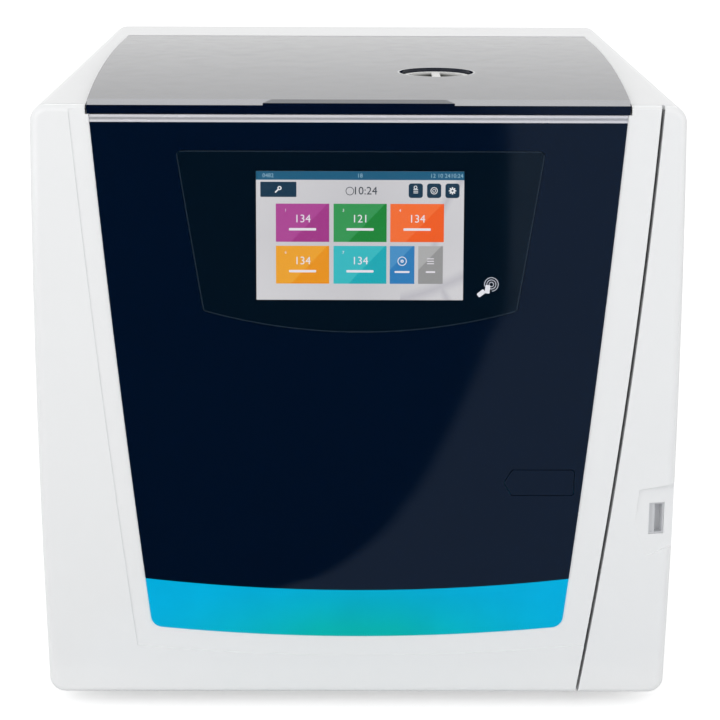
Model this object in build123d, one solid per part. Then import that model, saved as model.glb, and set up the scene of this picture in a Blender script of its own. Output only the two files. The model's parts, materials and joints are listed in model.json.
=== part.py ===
from build123d import *
import math
import os

# Tabletop steam steriliser, millimetres. +Z up, the front faces -Y, X to the right.
# The origin is on the table, under the middle of the outer box.

# Outer housing
WIDTH = 480.0
DEPTH = 600.0
TOP_Z = 473.0
BOTTOM_Z = 12.0
FRONT_BOW = 18.0
CORNER_R = 12.0
FRONT_EDGE_R = 6.0
REAR_BEVEL = 5.0
REAR_RIM = 9.0
COVER_WALL = 3.0
HALF = WIDTH / 2
FRONT_Y = -DEPTH / 2
REAR_Y = DEPTH / 2

# Door
DOOR_WALL = 3.5
DOOR_DEPTH = 75.0
DOOR_GAP = 3.5
DOOR_TOP_Z = 466.5
DOOR_HINGE_R = 14.0
SEAM_TOP_X = 220.3
SEAM_LOW_X = 170.0
SEAM_BOW = 3.5
SEAM_GAP = 2.4
LIP_DEPTH = 8.0
LIP_GAP = 1.6

# Door panel, light strip and screen
PANEL_TOP_HALF = 196.3
PANEL_TAPER = 0.0975
PANEL_PROUD = 1.0
PANEL_THICK = 2.8
PANEL_FIT = 0.4
LEDGE = 7.0
TRIM_Z = 461.2
STRIP_TOP_MID_Z = 102.4
STRIP_TOP_END_Z = 112.0
STRIP_LOW_MID_Z = 62.9
STRIP_LOW_END_Z = 71.5
STRIP_CORNER_R = 9.0
CREASE_SIDE = 15.0
CREASE_LOW = 17.0
CREASE_DEPTH = 0.8
GLASS_TOP_Z = 440.7
GLASS_TOP_HALF = 135.0
GLASS_LOW_Z = 323.4
GLASS_LOW_HALF = 115.8
GLASS_BOW = 16.0
GLASS_THICK = 2.2
SCREEN_WIDTH = 153.0
SCREEN_HEIGHT = 95.0
SCREEN_Z = 378.7
PAD_LEFT_X = 110.5
PAD_RIGHT_X = 163.0
PAD_Z = 191.0
PAD_HEIGHT = 20.0
PAD_POINT = 6.0
PAD_TRAVEL = 2.5

# Tank lid
LID_FRONT_HALF = 197.5
LID_REAR_HALF = 217.0
LID_SIDE_BOW = 3.8
LID_FRONT_Y = FRONT_Y + 17.7
LID_AXIS_Y = REAR_Y - 97.0
LID_AXIS_Z = 467.5
LID_ROLL_R = 5.5
LID_REAR_STEP = 0.3
LID_SKIN = 3.0
LID_SKIRT_Z = 467.0
LID_FRONT_Z = 476.0
LID_CROWN = 3.0
LID_GAP = 1.0
LID_BEVEL_DEPTH = 12.0
TAB_HALF = 63.0
TAB_EDGE_Z = 474.7
LID_RIB_XS = [-120.0, 0.0, 120.0]
LID_ROD_R = 2.5

# Filler cap
FILLER_X = 63.0
FILLER_Y = FRONT_Y + 184.0
CAP_R = 27.8
CAP_HOLE_R = 29.7
CAP_TOP_Z = 475.0
CAP_FLANGE_Z = 465.0
CAP_POCKET_R = 22.5
CAP_BAR = 6.5
SEAL_HEIGHT = 2.5
NECK_R = 26.0
NECK_BORE_R = 20.0
NECK_FLANGE = 30.0
NECK_SIDES = 8

# Chamber
CHAMBER_X = -12.0
CHAMBER_Z = 214.0
CHAMBER_R = 125.0
CHAMBER_WALL = 3.0
CHAMBER_LENGTH = DEPTH - 151.0
DISH_DEPTH = 26.0
BULKHEAD_Y = FRONT_Y + 84.0
BULKHEAD_THICK = 3.0
BULKHEAD_HOLE_R = CHAMBER_R + 25.0
FLANGE_R = CHAMBER_R + 33.0
FLANGE_THICK = 14.0
GASKET_IN_R = CHAMBER_R + CHAMBER_WALL + 0.3
GASKET_OUT_R = GASKET_IN_R + 10.7
GASKET_DEPTH = 5.0
GASKET_PROUD = 1.0
JACKET_R = CHAMBER_R + 15.0
JACKET_SIDES = 24
HEATER_THICK = 3.0
DISC_R = CHAMBER_R + 20.0
DISC_GAP = 0.3
DISC_THICK = 8.0
HUB_R = 8.0
RUN_FIT = 0.06

# Base, rear and fits
BASE_THICK = 2.0
BASE_FLANGE = 24.0
BASE_SLOTS = 5
BASE_SLOT_PITCH = 14.0
FOOT_R = 16.0
FOOT_SIDES = 16
REAR_PANEL_Y = REAR_Y - 23.0
REAR_PANEL_THICK = 3.0
SEAT_GAP = 0.3
PIN_R = 5.0

BRACKET_LEVELS = [(46.0, 70.0), (380.0, 404.0)]
KNUCKLE_LEVELS = [(70.3, 96.0), (354.0, 379.7)]
KNUCKLE_R = 8.5
ARM_HALF = 3.0
BEAM_Z = 214.0
BEAM_HEIGHT = 40.0
BEAM_FRONT_Y = FRONT_Y + 52.0
BEAM_BACK_Y = FRONT_Y + 64.0
BEAM_RIGHT_X = 186.0
MOUNT_XS = [-120.0, 95.0]

# Lock
BOLT_X = 176.0
BOLT_Y = FRONT_Y + 97.0
BOLT_R = 5.0
BOLT_FIT = 0.6
TONGUE_LEVELS = [180.0, 248.0]
TONGUE_THICK = 6.0
TONGUE_BACK_Y = FRONT_Y + 104.0
SCREW_Y = FRONT_Y + 122.0
SCREW_R = 4.0
SCREW_LOW_Z = 109.0
SCREW_HIGH_Z = 326.0

# Tanks and supports
TANK_HALF = 205.0
TANK_FRONT_Y = FRONT_Y + 104.0
TANK_REAR_Y = REAR_Y - 108.0
TANK_TOP_Z = 452.0
TANK_LOW_Z = 330.0
TANK_WALL = 3.0
TANK_SPLIT_X = -24.0
SADDLE_YS = [FRONT_Y + 180.0, REAR_Y - 160.0]
SADDLE_THICK = 3.0
SADDLE_HALF = 226.0
SADDLE_TOP_Z = 130.0
SADDLE_SIDES = 16

# Rack and trays
RACK_HALF = CHAMBER_R - 37.0
RACK_FRONT_Y = FRONT_Y + 110.0
RACK_REAR_Y = REAR_Y - 110.0
RACK_LOW_Z = CHAMBER_Z + 61.0 - CHAMBER_R
RACK_HIGH_Z = CHAMBER_Z - 55.0 + CHAMBER_R
RACK_PITCH = CHAMBER_R - 83.0
RACK_LEVELS = [RACK_LOW_Z + 14.0 + RACK_PITCH * i for i in range(3)]
SHEET = 1.5
TRAY_HALF = RACK_HALF - 4.0
TRAY_HEIGHT = 18.0
TRAY_WALL = 1.2
TRAY_SLOTS = 5
TRAY_SLOT_PITCH = 76.0

# Small interfaces
TONGUE_HALF = 10.0
LINER_THICK = 2.5
GLASS_X = 1.5
GLASS_FIT = 0.3
PAD_FIT = 0.5
PAD_STEM_Y = FRONT_Y + 18.0
SCREEN_SAG = 1.0
LED_COUNT = 9
LED_PITCH = 28.0
VENT_COUNT = 8
VENT_FIRST_Y = REAR_Y - 180.0
VENT_PITCH = 11.0
VENT_WIDTH = 4.0
VENT_LOW_Z = 70.0
VENT_HEIGHT = 60.0
SCOOP_LEFT_X = 209.0
SCOOP_Z = 160.0
SCOOP_DEPTH = 6.5
SCOOP_OUTLINE = [(208.0, 126.0), (250.0, 144.0), (250.0, 192.0), (213.0, 185.5)]
SCOOP_BACKING = [(204.0, 120.0), (239.0, 136.0), (239.0, 196.0), (208.0, 191.0)]
PORT_X = 227.2
PORT_Z = 161.5
PORT_WIDTH = 12.0
PORT_HEIGHT = 25.0
HEATER_HALF = 30.0
HEATER_LENGTH = CHAMBER_LENGTH - 69.0
PUMP_RIBS = 3
FILTER_X = -178.0
FILTER_Z = 92.0
FILTER_R = 24.0
DRAIN_XS = [88.0, 122.0]
DRAIN_Z = 40.0
DRAIN_R = 8.0
FAN_X = 189.0
FAN_Z = 226.0
FAN_R = 31.0
FAN_FRONT_Y = REAR_Y - 48.0
FAN_BLADES = 7
GRILLE_ROWS = 3
GRILLE_PITCH = 8.5
FIN_COUNT = 14
INLET_X = 180.0
INLET_Z = 70.0
SWITCH_X = 130.0
SWITCH_PIVOT = 4.0
SWITCH_TIP = 7.0
SWITCH_PIN_R = 1.5
VALVE_X = CHAMBER_X
VALVE_Z = CHAMBER_Z
SPIGOT_X = -180.0
SPIGOT_Z = 70.0
SPIGOT_R = 5.0
SPIGOT_LENGTH = 16.0
LOUVRE_XS = [-150.0, 20.0]
LOUVRE_COUNT = 6
LOUVRE_LOW_Z = 330.0
LOUVRE_PITCH = 18.0

MID_Z = (TOP_Z + BOTTOM_Z) / 2
SPAN_Z = TOP_Z - BOTTOM_Z
FRONT_RADIUS = (SPAN_Z ** 2 / 4 + FRONT_BOW ** 2) / (2 * FRONT_BOW)
DOOR_REAR_Y = FRONT_Y + DOOR_DEPTH
COVER_FRONT_Y = DOOR_REAR_Y + DOOR_GAP
HINGE_X = -HALF + DOOR_HINGE_R
HINGE_Y = DOOR_REAR_Y - DOOR_HINGE_R
BASE_LOW_Z = BOTTOM_Z + COVER_WALL
BASE_TOP_Z = BASE_LOW_Z + BASE_THICK
BULKHEAD_BACK_Y = BULKHEAD_Y + BULKHEAD_THICK
INNER_INSET = COVER_WALL + 0.5
INNER_HALF = HALF - INNER_INSET
BASE_HALF = HALF - CORNER_R
FAR = 900.0
PANEL_INSET = CREASE_DEPTH - PANEL_PROUD
SEAT_DEPTH = PANEL_INSET + PANEL_THICK
GLASS_INSET = PANEL_INSET - 0.2
PAD_MID_X = (PAD_LEFT_X + PAD_RIGHT_X) / 2 + 2
LIP_START = LID_FRONT_HALF + 1.8
DISC_BACK_Y = BULKHEAD_BACK_Y - GASKET_PROUD - DISC_GAP
NECK_TOP_Z = CAP_FLANGE_Z - SEAL_HEIGHT


def block(x0, x1, y0, y1, z0, z1):
    """A box between two corners."""
    centre = Pos((x0 + x1) / 2, (y0 + y1) / 2, (z0 + z1) / 2)
    return centre * Box(x1 - x0, y1 - y0, z1 - z0)


def rod_x(y, z, radius, x0, x1):
    return Pos((x0 + x1) / 2, y, z) * Rot(0, 90, 0) * Cylinder(radius, x1 - x0)


def rod_y(x, z, radius, y0, y1):
    return Pos(x, (y0 + y1) / 2, z) * Rot(90, 0, 0) * Cylinder(radius, y1 - y0)


def rod_z(x, y, radius, z0, z1):
    return Pos(x, y, (z0 + z1) / 2) * Cylinder(radius, z1 - z0)


def prism_y(x, z, radius, sides, y0, y1):
    """A bar along Y with a regular outline, standing on one of its flats."""
    face = RegularPolygon(radius, sides, major_radius=False, rotation=90)
    return slab_y(Pos(x, z) * face, y0, y1)


def prism_z(x, y, radius, sides, z0, z1):
    """A bar along Z with a regular outline, one flat square to X."""
    face = RegularPolygon(radius, sides, major_radius=False, rotation=180 / sides)
    return Pos(x, y, z0) * extrude(face, amount=z1 - z0)


def tube_y(x, z, outer, inner, y0, y1):
    return rod_y(x, z, outer, y0, y1) - rod_y(x, z, inner, y0 - 1, y1 + 1)


def slab_y(face, y0, y1):
    """An outline drawn in X and Z, from one Y to another."""
    return Pos(0, y1, 0) * extrude(Plane.XZ * face, amount=y1 - y0)


def slab_z(face, z0, z1):
    """An outline drawn in X and Y, from one Z to another."""
    return Pos(0, 0, z0) * extrude(face, amount=z1 - z0)


def outline(*edges):
    curve = edges[0]
    for edge in edges[1:]:
        curve = curve + edge
    return make_face(curve)


def polygon(*points):
    return make_face(Polyline(*points, close=True))


def joined(pieces):
    """One shape of all the pieces, fused where they meet."""
    whole = pieces[0]
    for piece in pieces[1:]:
        whole = whole + piece
    return whole


# The front is part of a large cylinder about a level axis, so it bows out at mid height.

def front_cylinder(inset):
    radius = FRONT_RADIUS - inset
    return Pos(0, FRONT_Y + FRONT_RADIUS, MID_Z) * Rot(0, 90, 0) * Cylinder(radius, FAR)


def front_y(z, inset=0.0):
    radius = FRONT_RADIUS - inset
    return FRONT_Y + FRONT_RADIUS - math.sqrt(radius ** 2 - (z - MID_Z) ** 2)


DECK_FRONT_Y = front_y(TOP_Z) + LIP_DEPTH + LIP_GAP


def on_front(x, z, depth):
    """A place under the front surface, turned so that local -Y points out of it."""
    tilt = math.asin((z - MID_Z) / FRONT_RADIUS)
    y = front_y(z) + depth * math.cos(tilt)
    return Pos(x, y, z - depth * math.sin(tilt)) * Rot(-math.degrees(tilt), 0, 0)


def front_skin(face, inset, thickness):
    """The part of the front's skin inside an outline in X and Z."""
    prism = slab_y(face, FRONT_Y - 10, FRONT_Y + 60)
    return (prism & front_cylinder(inset)) - front_cylinder(inset + thickness)


def make_body_form(inset):
    """The whole machine's outer form, or the same form a wall further in."""
    wide = WIDTH - 2 * inset
    tall = SPAN_Z - 2 * inset
    section = Pos(0, MID_Z) * RectangleRounded(wide, tall, CORNER_R - inset)
    form = slab_y(section, FRONT_Y - 10, REAR_Y - inset) & front_cylinder(inset)
    front_edges = form.faces().sort_by(Axis.Y)[0].edges()
    form = fillet(front_edges, FRONT_EDGE_R - inset)
    rear_edges = form.faces().sort_by(Axis.Y)[-1].edges()
    return chamfer(rear_edges, REAR_BEVEL)


def cavity_form(inset):
    """The hollow a wall inside the outer form, with bevelled instead of rounded corners."""
    corner = CORNER_R - inset - 2
    section = Rectangle(WIDTH - 2 * inset, SPAN_Z - 2 * inset)
    section = Pos(0, MID_Z) * chamfer(section.vertices(), corner)
    return slab_y(section, FRONT_Y - 10, REAR_Y - REAR_RIM) & front_cylinder(inset)


forms = {}


def body_form(inset):
    if inset not in forms:
        forms[inset] = make_body_form(inset)
    return forms[inset]


def seam_zone(offset, low, high, y0, y1):
    """Everything left of the curved seam between the door and the cheek."""
    slope = (SEAM_TOP_X - SEAM_LOW_X) / SPAN_Z
    reach = 30.0
    low_end = (SEAM_LOW_X + offset - slope * reach, BOTTOM_Z - reach)
    high_end = (SEAM_TOP_X + offset + slope * reach, TOP_Z + reach)
    middle = ((low_end[0] + high_end[0]) / 2 + SEAM_BOW, (low_end[1] + high_end[1]) / 2)
    face = outline(
        ThreePointArc(low_end, middle, high_end),
        Line(high_end, (-FAR, high_end[1])),
        Line((-FAR, high_end[1]), (-FAR, low_end[1])),
        Line((-FAR, low_end[1]), low_end),
    )
    return slab_y(face, y0, y1) & block(-FAR, FAR, y0, y1, low, high)


def hinge_plan(inset, low, high):
    """The door seen from above, its left rear corner rounded about the hinge axis."""
    radius = DOOR_HINGE_R - inset
    main = block(-FAR, FAR, FRONT_Y - 20, HINGE_Y, low, high)
    rear = block(HINGE_X, FAR, HINGE_Y - 1, DOOR_REAR_Y, low, high)
    return main + rear + rod_z(HINGE_X, HINGE_Y, radius, low, high)


def panel_half(z):
    return PANEL_TOP_HALF - PANEL_TAPER * (DOOR_TOP_Z - z)


def strip_face(grow):
    """The outline of the panel and the light strip under it, grown all round."""
    top = TOP_Z + 20
    low_end = STRIP_LOW_END_Z - grow
    right = panel_half(low_end) + grow
    face = outline(
        Line((-panel_half(top) - grow, top), (panel_half(top) + grow, top)),
        Line((panel_half(top) + grow, top), (right, low_end)),
        ThreePointArc((right, low_end), (0, STRIP_LOW_MID_Z - grow), (-right, low_end)),
        Line((-right, low_end), (-panel_half(top) - grow, top)),
    )
    corners = face.vertices().sort_by(Axis.Y)[:2]
    return fillet(corners, STRIP_CORNER_R + grow)


def above_strip_face(drop):
    """Everything above the arc between the panel and the light strip."""
    half = 240.0
    radius = (160.0 ** 2) / (2 * (STRIP_TOP_END_Z - STRIP_TOP_MID_Z))
    end = STRIP_TOP_MID_Z - drop + half ** 2 / (2 * radius)
    top = TOP_Z + 40
    return outline(
        ThreePointArc((-half, end), (0, STRIP_TOP_MID_Z - drop), (half, end)),
        Line((half, end), (half, top)),
        Line((half, top), (-half, top)),
        Line((-half, top), (-half, end)),
    )


def glass_face(grow):
    top_half = GLASS_TOP_HALF + grow
    low_half = GLASS_LOW_HALF + grow
    top = GLASS_TOP_Z + grow
    low = GLASS_LOW_Z - grow
    face = outline(
        Line((-top_half, top), (top_half, top)),
        Line((top_half, top), (low_half, low)),
        ThreePointArc((low_half, low), (0, low - GLASS_BOW), (-low_half, low)),
        Line((-low_half, low), (-top_half, top)),
    )
    return fillet(face.vertices(), 4.0)


def pad_face(grow):
    left = PAD_LEFT_X - grow
    right = PAD_RIGHT_X + grow
    high = PAD_Z + PAD_HEIGHT / 2 + grow
    low = PAD_Z - PAD_HEIGHT / 2 - grow
    face = polygon(
        (left, PAD_Z),
        (left + PAD_POINT, high),
        (right, high),
        (right, low),
        (left + PAD_POINT, low),
    )
    return fillet(face.vertices(), 2.5)


# Door

def door_shell():
    low = BOTTOM_Z - 10
    outer = body_form(0) & seam_zone(0, low, DOOR_TOP_Z, FRONT_Y - 20, DOOR_REAR_Y)
    outer = outer & hinge_plan(0, low, DOOR_TOP_Z)
    top = DOOR_TOP_Z - DOOR_WALL
    inner = cavity_form(DOOR_WALL) & seam_zone(-DOOR_WALL, low, top, FRONT_Y - 20, 0)
    inner_plan = hinge_plan(DOOR_WALL, low, top)
    inner_plan = inner_plan + block(HINGE_X, FAR, DOOR_REAR_Y - 6, DOOR_REAR_Y + 5, low, top)
    return outer - (inner & inner_plan)


def front_lip(zone):
    """The front skin's upper edge, which stands in front of the deck."""
    lip_back = front_y(TOP_Z) + LIP_DEPTH
    ring = body_form(0) - cavity_form(COVER_WALL)
    return ring & zone & block(-FAR, FAR, FRONT_Y - 20, lip_back, DOOR_TOP_Z - 2, TOP_Z + 5)


def door_frame():
    """The white shell of the door, with a crease and a stepped seat round the panel."""
    left_lip = front_lip(block(-FAR, -LIP_START, FRONT_Y - 20, 0, 0, FAR))
    right_zone = seam_zone(0, 0, FAR, FRONT_Y - 20, 0) & block(LIP_START, FAR, -FAR, 0, 0, FAR)
    frame = door_shell() + left_lip + front_lip(right_zone)
    top = TOP_Z + 20
    low = STRIP_LOW_END_Z - CREASE_LOW
    crease = outline(
        Line((-panel_half(top) - CREASE_SIDE, top), (FAR, top)),
        Line((FAR, top), (FAR, low)),
        Line((FAR, low), (SEAM_LOW_X, low)),
        ThreePointArc((SEAM_LOW_X, low), (0, STRIP_LOW_MID_Z - CREASE_LOW), (-SEAM_LOW_X, low)),
        Line((-SEAM_LOW_X, low), (-panel_half(top) - CREASE_SIDE, top)),
    )
    below_top = Rectangle(FAR, 2 * (DOOR_TOP_Z - 6))
    frame = frame - front_skin(crease, -3, 3 + CREASE_DEPTH)
    frame = frame - front_skin(strip_face(PANEL_FIT), -3, 3 + SEAT_DEPTH)
    frame = frame - front_skin(strip_face(-LEDGE) & below_top, -3, 14)
    frame = frame - front_skin(pad_face(PAD_FIT + 0.5), -3, 14)
    for arm_low, arm_high in BRACKET_LEVELS:
        frame = frame - block(
            -HALF - 1, HINGE_X + 5.5, HINGE_Y - 9, DOOR_REAR_Y + 1, arm_low - 1, arm_high + 1
        )
    return frame


def door_panel():
    face = strip_face(0) & above_strip_face(0) & Rectangle(FAR, 2 * (TRIM_Z - 0.2))
    face = face - Pos(GLASS_X, 0) * glass_face(GLASS_FIT) - pad_face(PAD_FIT)
    return front_skin(face, PANEL_INSET, PANEL_THICK)


def light_strip():
    return front_skin(strip_face(0) - above_strip_face(PANEL_FIT), PANEL_INSET, PANEL_THICK)


def light_strip_board():
    z = (STRIP_LOW_MID_Z + STRIP_TOP_MID_Z) / 2
    depth = PANEL_INSET + PANEL_THICK
    board = on_front(0, z, depth + 2.0) * Box(270, 1.6, 18)
    for i in range(LED_COUNT):
        x = (i - (LED_COUNT - 1) / 2) * LED_PITCH
        board = board + on_front(x, z, depth + 0.7) * Box(5, 1.0, 5)
    return board


def chrome_trim():
    """The bright strip along the door's top edge, with a groove along its middle."""
    low = TRIM_Z
    high = DOOR_TOP_Z
    half = panel_half(low)
    face = Pos(0, (low + high) / 2) * Rectangle(2 * half, high - low)
    strip = front_skin(face, PANEL_INSET - 0.6, PANEL_THICK + 0.6)
    groove = Pos(0, (low + high) / 2) * Rectangle(2 * half + 2, 1.6)
    return strip - front_skin(groove, PANEL_INSET - 2, 2.0)


def screen_glass():
    return front_skin(Pos(GLASS_X, 0) * glass_face(0), GLASS_INSET, GLASS_THICK)


def behind_glass(dx, dy, dz):
    """A place behind the curved glass, on the flat plane of the display."""
    depth = GLASS_INSET + GLASS_THICK + SCREEN_SAG
    return on_front(GLASS_X, SCREEN_Z, depth) * Pos(dx, dy, dz)


def screen_module():
    """The display, flat behind the curved glass: frame, ears on the panel's bosses, driver board."""
    frame = behind_glass(0, 3.5, 0) * Box(SCREEN_WIDTH + 14, 7, SCREEN_HEIGHT + 12)
    window = behind_glass(0, 0, 0) * Box(SCREEN_WIDTH, 1.6, SCREEN_HEIGHT)
    ears = []
    for side in (-1, 1):
        ears.append(behind_glass(side * (SCREEN_WIDTH / 2 + 15), 5.0, 0) * Box(18, 3, 40))
    return joined([frame - window] + ears + [screen_board()])


def screen_board():
    """The display's driver board on four short posts."""
    board = behind_glass(0, 11.0, 0) * Box(130, 1.6, 82)
    for x in (-55, 55):
        for z in (-33, 33):
            board = board + behind_glass(x, 8.6, z) * Box(5, 3.2, 5)
    board = board + behind_glass(10, 12.6, 6) * Box(24, 2, 24)
    return board + behind_glass(-35, 14.6, -20) * Box(30, 6, 10)


def door_liner():
    """The door's inner skin, with the hub hole and slots for the keepers and hinge arms."""
    low = BOTTOM_Z - 10
    top = DOOR_TOP_Z - DOOR_WALL - SEAT_GAP
    inset = DOOR_WALL + SEAT_GAP
    plate = cavity_form(inset) & seam_zone(-inset, low, top, FRONT_Y, 0)
    plate = plate & block(HINGE_X, FAR, DOOR_REAR_Y - LINER_THICK, DOOR_REAR_Y, low, top)
    plate = plate - rod_y(CHAMBER_X, CHAMBER_Z, HUB_R + 14, DOOR_REAR_Y - 9, DOOR_REAR_Y + 1)
    for z in TONGUE_LEVELS:
        x0 = BOLT_X - TONGUE_HALF - 1
        x1 = BOLT_X + TONGUE_HALF + 1
        plate = plate - block(x0, x1, DOOR_REAR_Y - 9, DOOR_REAR_Y + 1, z - 4, z + 4)
    for arm_low, arm_high in BRACKET_LEVELS:
        x1 = HINGE_X + 5.5
        plate = plate - block(-FAR, x1, DOOR_REAR_Y - 9, DOOR_REAR_Y + 1, arm_low - 1, arm_high + 1)
    return plate


def door_carrier():
    """The steel beam that carries the pressure disc, with its two hinge knuckles."""
    post_x0 = HINGE_X + KNUCKLE_R + 1
    post = block(post_x0, post_x0 + 14, BEAM_FRONT_Y, BEAM_BACK_Y, KNUCKLE_LEVELS[0][0], KNUCKLE_LEVELS[1][1])
    low = BEAM_Z - BEAM_HEIGHT / 2
    high = BEAM_Z + BEAM_HEIGHT / 2
    beam = block(post_x0, BEAM_RIGHT_X, BEAM_FRONT_Y, BEAM_BACK_Y, low, high)
    end = block(
        BEAM_RIGHT_X - 26, BEAM_RIGHT_X, BEAM_FRONT_Y, BEAM_BACK_Y, TONGUE_LEVELS[0] - 12, TONGUE_LEVELS[1] + 12
    )
    carrier = post + beam + end
    for x in (-80, 52):
        carrier = carrier - block(x - 14, x + 14, BEAM_FRONT_Y - 1, BEAM_BACK_Y + 1, BEAM_Z - 8, BEAM_Z + 8)
    for z0, z1 in KNUCKLE_LEVELS:
        web = block(HINGE_X, post_x0 + 1, BEAM_FRONT_Y, BEAM_BACK_Y, z0, z1)
        carrier = carrier + web + rod_z(HINGE_X, HINGE_Y, KNUCKLE_R, z0, z1)
    for z0, z1 in KNUCKLE_LEVELS:
        carrier = carrier - rod_z(HINGE_X, HINGE_Y, PIN_R + RUN_FIT, z0 - 1, z1 + 1)
    for x in MOUNT_XS:
        carrier = carrier + block(
            x - 12, x + 12, BEAM_BACK_Y, DOOR_REAR_Y - LINER_THICK, BEAM_Z - 12, BEAM_Z + 12
        )
    hub = prism_y(CHAMBER_X, CHAMBER_Z, HUB_R + 6, 8, BEAM_FRONT_Y, BEAM_BACK_Y + 4)
    return (carrier + hub) - rod_y(CHAMBER_X, CHAMBER_Z, HUB_R + RUN_FIT, BEAM_FRONT_Y - 1, BEAM_BACK_Y + 5)


def lock_keepers():
    tongues = []
    for z in TONGUE_LEVELS:
        z0 = z - TONGUE_THICK / 2
        z1 = z + TONGUE_THICK / 2
        x0 = BOLT_X - TONGUE_HALF
        x1 = BOLT_X + TONGUE_HALF
        tongue = block(x0, x1, BEAM_BACK_Y, TONGUE_BACK_Y, z0, z1)
        tongue = fillet(tongue.edges().filter_by(Axis.Z).group_by(Axis.Y)[-1], 4)
        foot = block(x0, x1, BEAM_BACK_Y, BEAM_BACK_Y + 4, z0 - 6, z1 + 6)
        tongues.append(tongue + foot - rod_z(BOLT_X, BOLT_Y, BOLT_R + BOLT_FIT, z0 - 1, z1 + 1))
    return Compound(children=tongues)


def pressure_disc():
    """The chamber's door plate, dished in the middle, with its hub pin."""
    y1 = DISC_BACK_Y
    y0 = y1 - DISC_THICK
    disc = rod_y(CHAMBER_X, CHAMBER_Z, DISC_R, y0, y1)
    disc = disc - rod_y(CHAMBER_X, CHAMBER_Z, CHAMBER_R - 12, y1 - 4, y1 + 1)
    pin_front = BEAM_FRONT_Y - 4
    pin = rod_y(CHAMBER_X, CHAMBER_Z, HUB_R, pin_front, y0)
    head = prism_y(CHAMBER_X, CHAMBER_Z, HUB_R + 4, 6, pin_front - 3, BEAM_FRONT_Y - SEAT_GAP)
    return disc + pin + head


def release_pad():
    face = pad_face(0)
    cap = front_skin(face, PANEL_INSET, PANEL_THICK)
    post = block(PAD_MID_X - 4, PAD_MID_X + 4, FRONT_Y + 1.5, PAD_STEM_Y, PAD_Z - 4, PAD_Z + 4)
    return cap + post


def pad_switch():
    """The switch and bracket behind the release pad, carried on the beam."""
    y0 = PAD_STEM_Y + PAD_TRAVEL + 0.5
    switch = block(PAD_MID_X - 12, PAD_MID_X + 12, y0 + 2, y0 + 14, PAD_Z - 8, PAD_Z + 8)
    button = rod_y(PAD_MID_X, PAD_Z, 3, y0, y0 + 2)
    arm = block(PAD_MID_X - 10, PAD_MID_X + 10, y0 + 14, BEAM_FRONT_Y, PAD_Z + 4, PAD_Z + 8)
    foot = block(PAD_MID_X - 10, PAD_MID_X + 10, BEAM_FRONT_Y - 3, BEAM_FRONT_Y, PAD_Z + 4, PAD_Z + 24)
    return switch + button + arm + foot


# Housing

def lid_outline(grow, front, rear):
    """The lid from above: straight front and rear, gently curved sides."""
    front_half = LID_FRONT_HALF + grow
    rear_half = LID_REAR_HALF + grow
    middle_half = (front_half + rear_half) / 2 + LID_SIDE_BOW
    middle_y = (LID_FRONT_Y + LID_AXIS_Y) / 2
    ends = (LID_FRONT_Y - 30, LID_AXIS_Y + 30)
    slope = (rear_half - front_half) / (LID_AXIS_Y - LID_FRONT_Y)
    low = front_half - slope * 30 - 0.6
    high = rear_half + slope * 30 - 1.2
    face = outline(
        ThreePointArc((low, ends[0]), (middle_half, middle_y), (high, ends[1])),
        Line((high, ends[1]), (-high, ends[1])),
        ThreePointArc((-high, ends[1]), (-middle_half, middle_y), (-low, ends[0])),
        Line((-low, ends[0]), (low, ends[0])),
    )
    strip = Pos(0, (front + rear) / 2) * Rectangle(FAR, rear - front)
    return face & strip


def housing_cover():
    """The white cover: two side walls, the deck round the lid and the rear rim."""
    shell = body_form(0) - cavity_form(COVER_WALL)
    walls = shell & block(-FAR, FAR, COVER_FRONT_Y, FAR, 0, FAR)
    deck = shell & block(-FAR, FAR, DECK_FRONT_Y, COVER_FRONT_Y + 1, TOP_Z - COVER_WALL, FAR)
    cover = walls + deck
    hole = lid_outline(LID_GAP, FRONT_Y - 20, LID_AXIS_Y + LID_ROLL_R + LID_GAP)
    cover = cover - slab_z(hole, TOP_Z - 20, TOP_Z + 5)
    bay = Pos(0, MID_Z) * RectangleRounded(WIDTH - 36, SPAN_Z - 36, 10)
    cover = cover - slab_y(bay, REAR_Y - 12, REAR_Y + 5)
    cover = cover - block(-HALF + 18, HALF - 18, COVER_FRONT_Y - 5, REAR_PANEL_Y - 3, 0, BASE_LOW_Z + 4)
    ears = []
    for side in (-1, 1):
        x = side * (LID_REAR_HALF + LID_GAP + 5)
        ear = block(x - 4, x + 4, LID_AXIS_Y - 8, LID_AXIS_Y + 12, LID_AXIS_Z - 7, TOP_Z - 1)
        ears.append(ear)
    cover = joined([cover] + ears)
    for side in (-1, 1):
        x = side * (LID_REAR_HALF + LID_GAP + 5)
        cover = cover - rod_x(LID_AXIS_Y, LID_AXIS_Z, LID_ROD_R, x - 4.5, x + 4.5)
    for i in range(VENT_COUNT):
        y = VENT_FIRST_Y + i * VENT_PITCH
        slot = block(-HALF - 5, HALF + 5, y, y + VENT_WIDTH, VENT_LOW_Z, VENT_LOW_Z + VENT_HEIGHT)
        cover = cover - slot
    return cover


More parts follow.
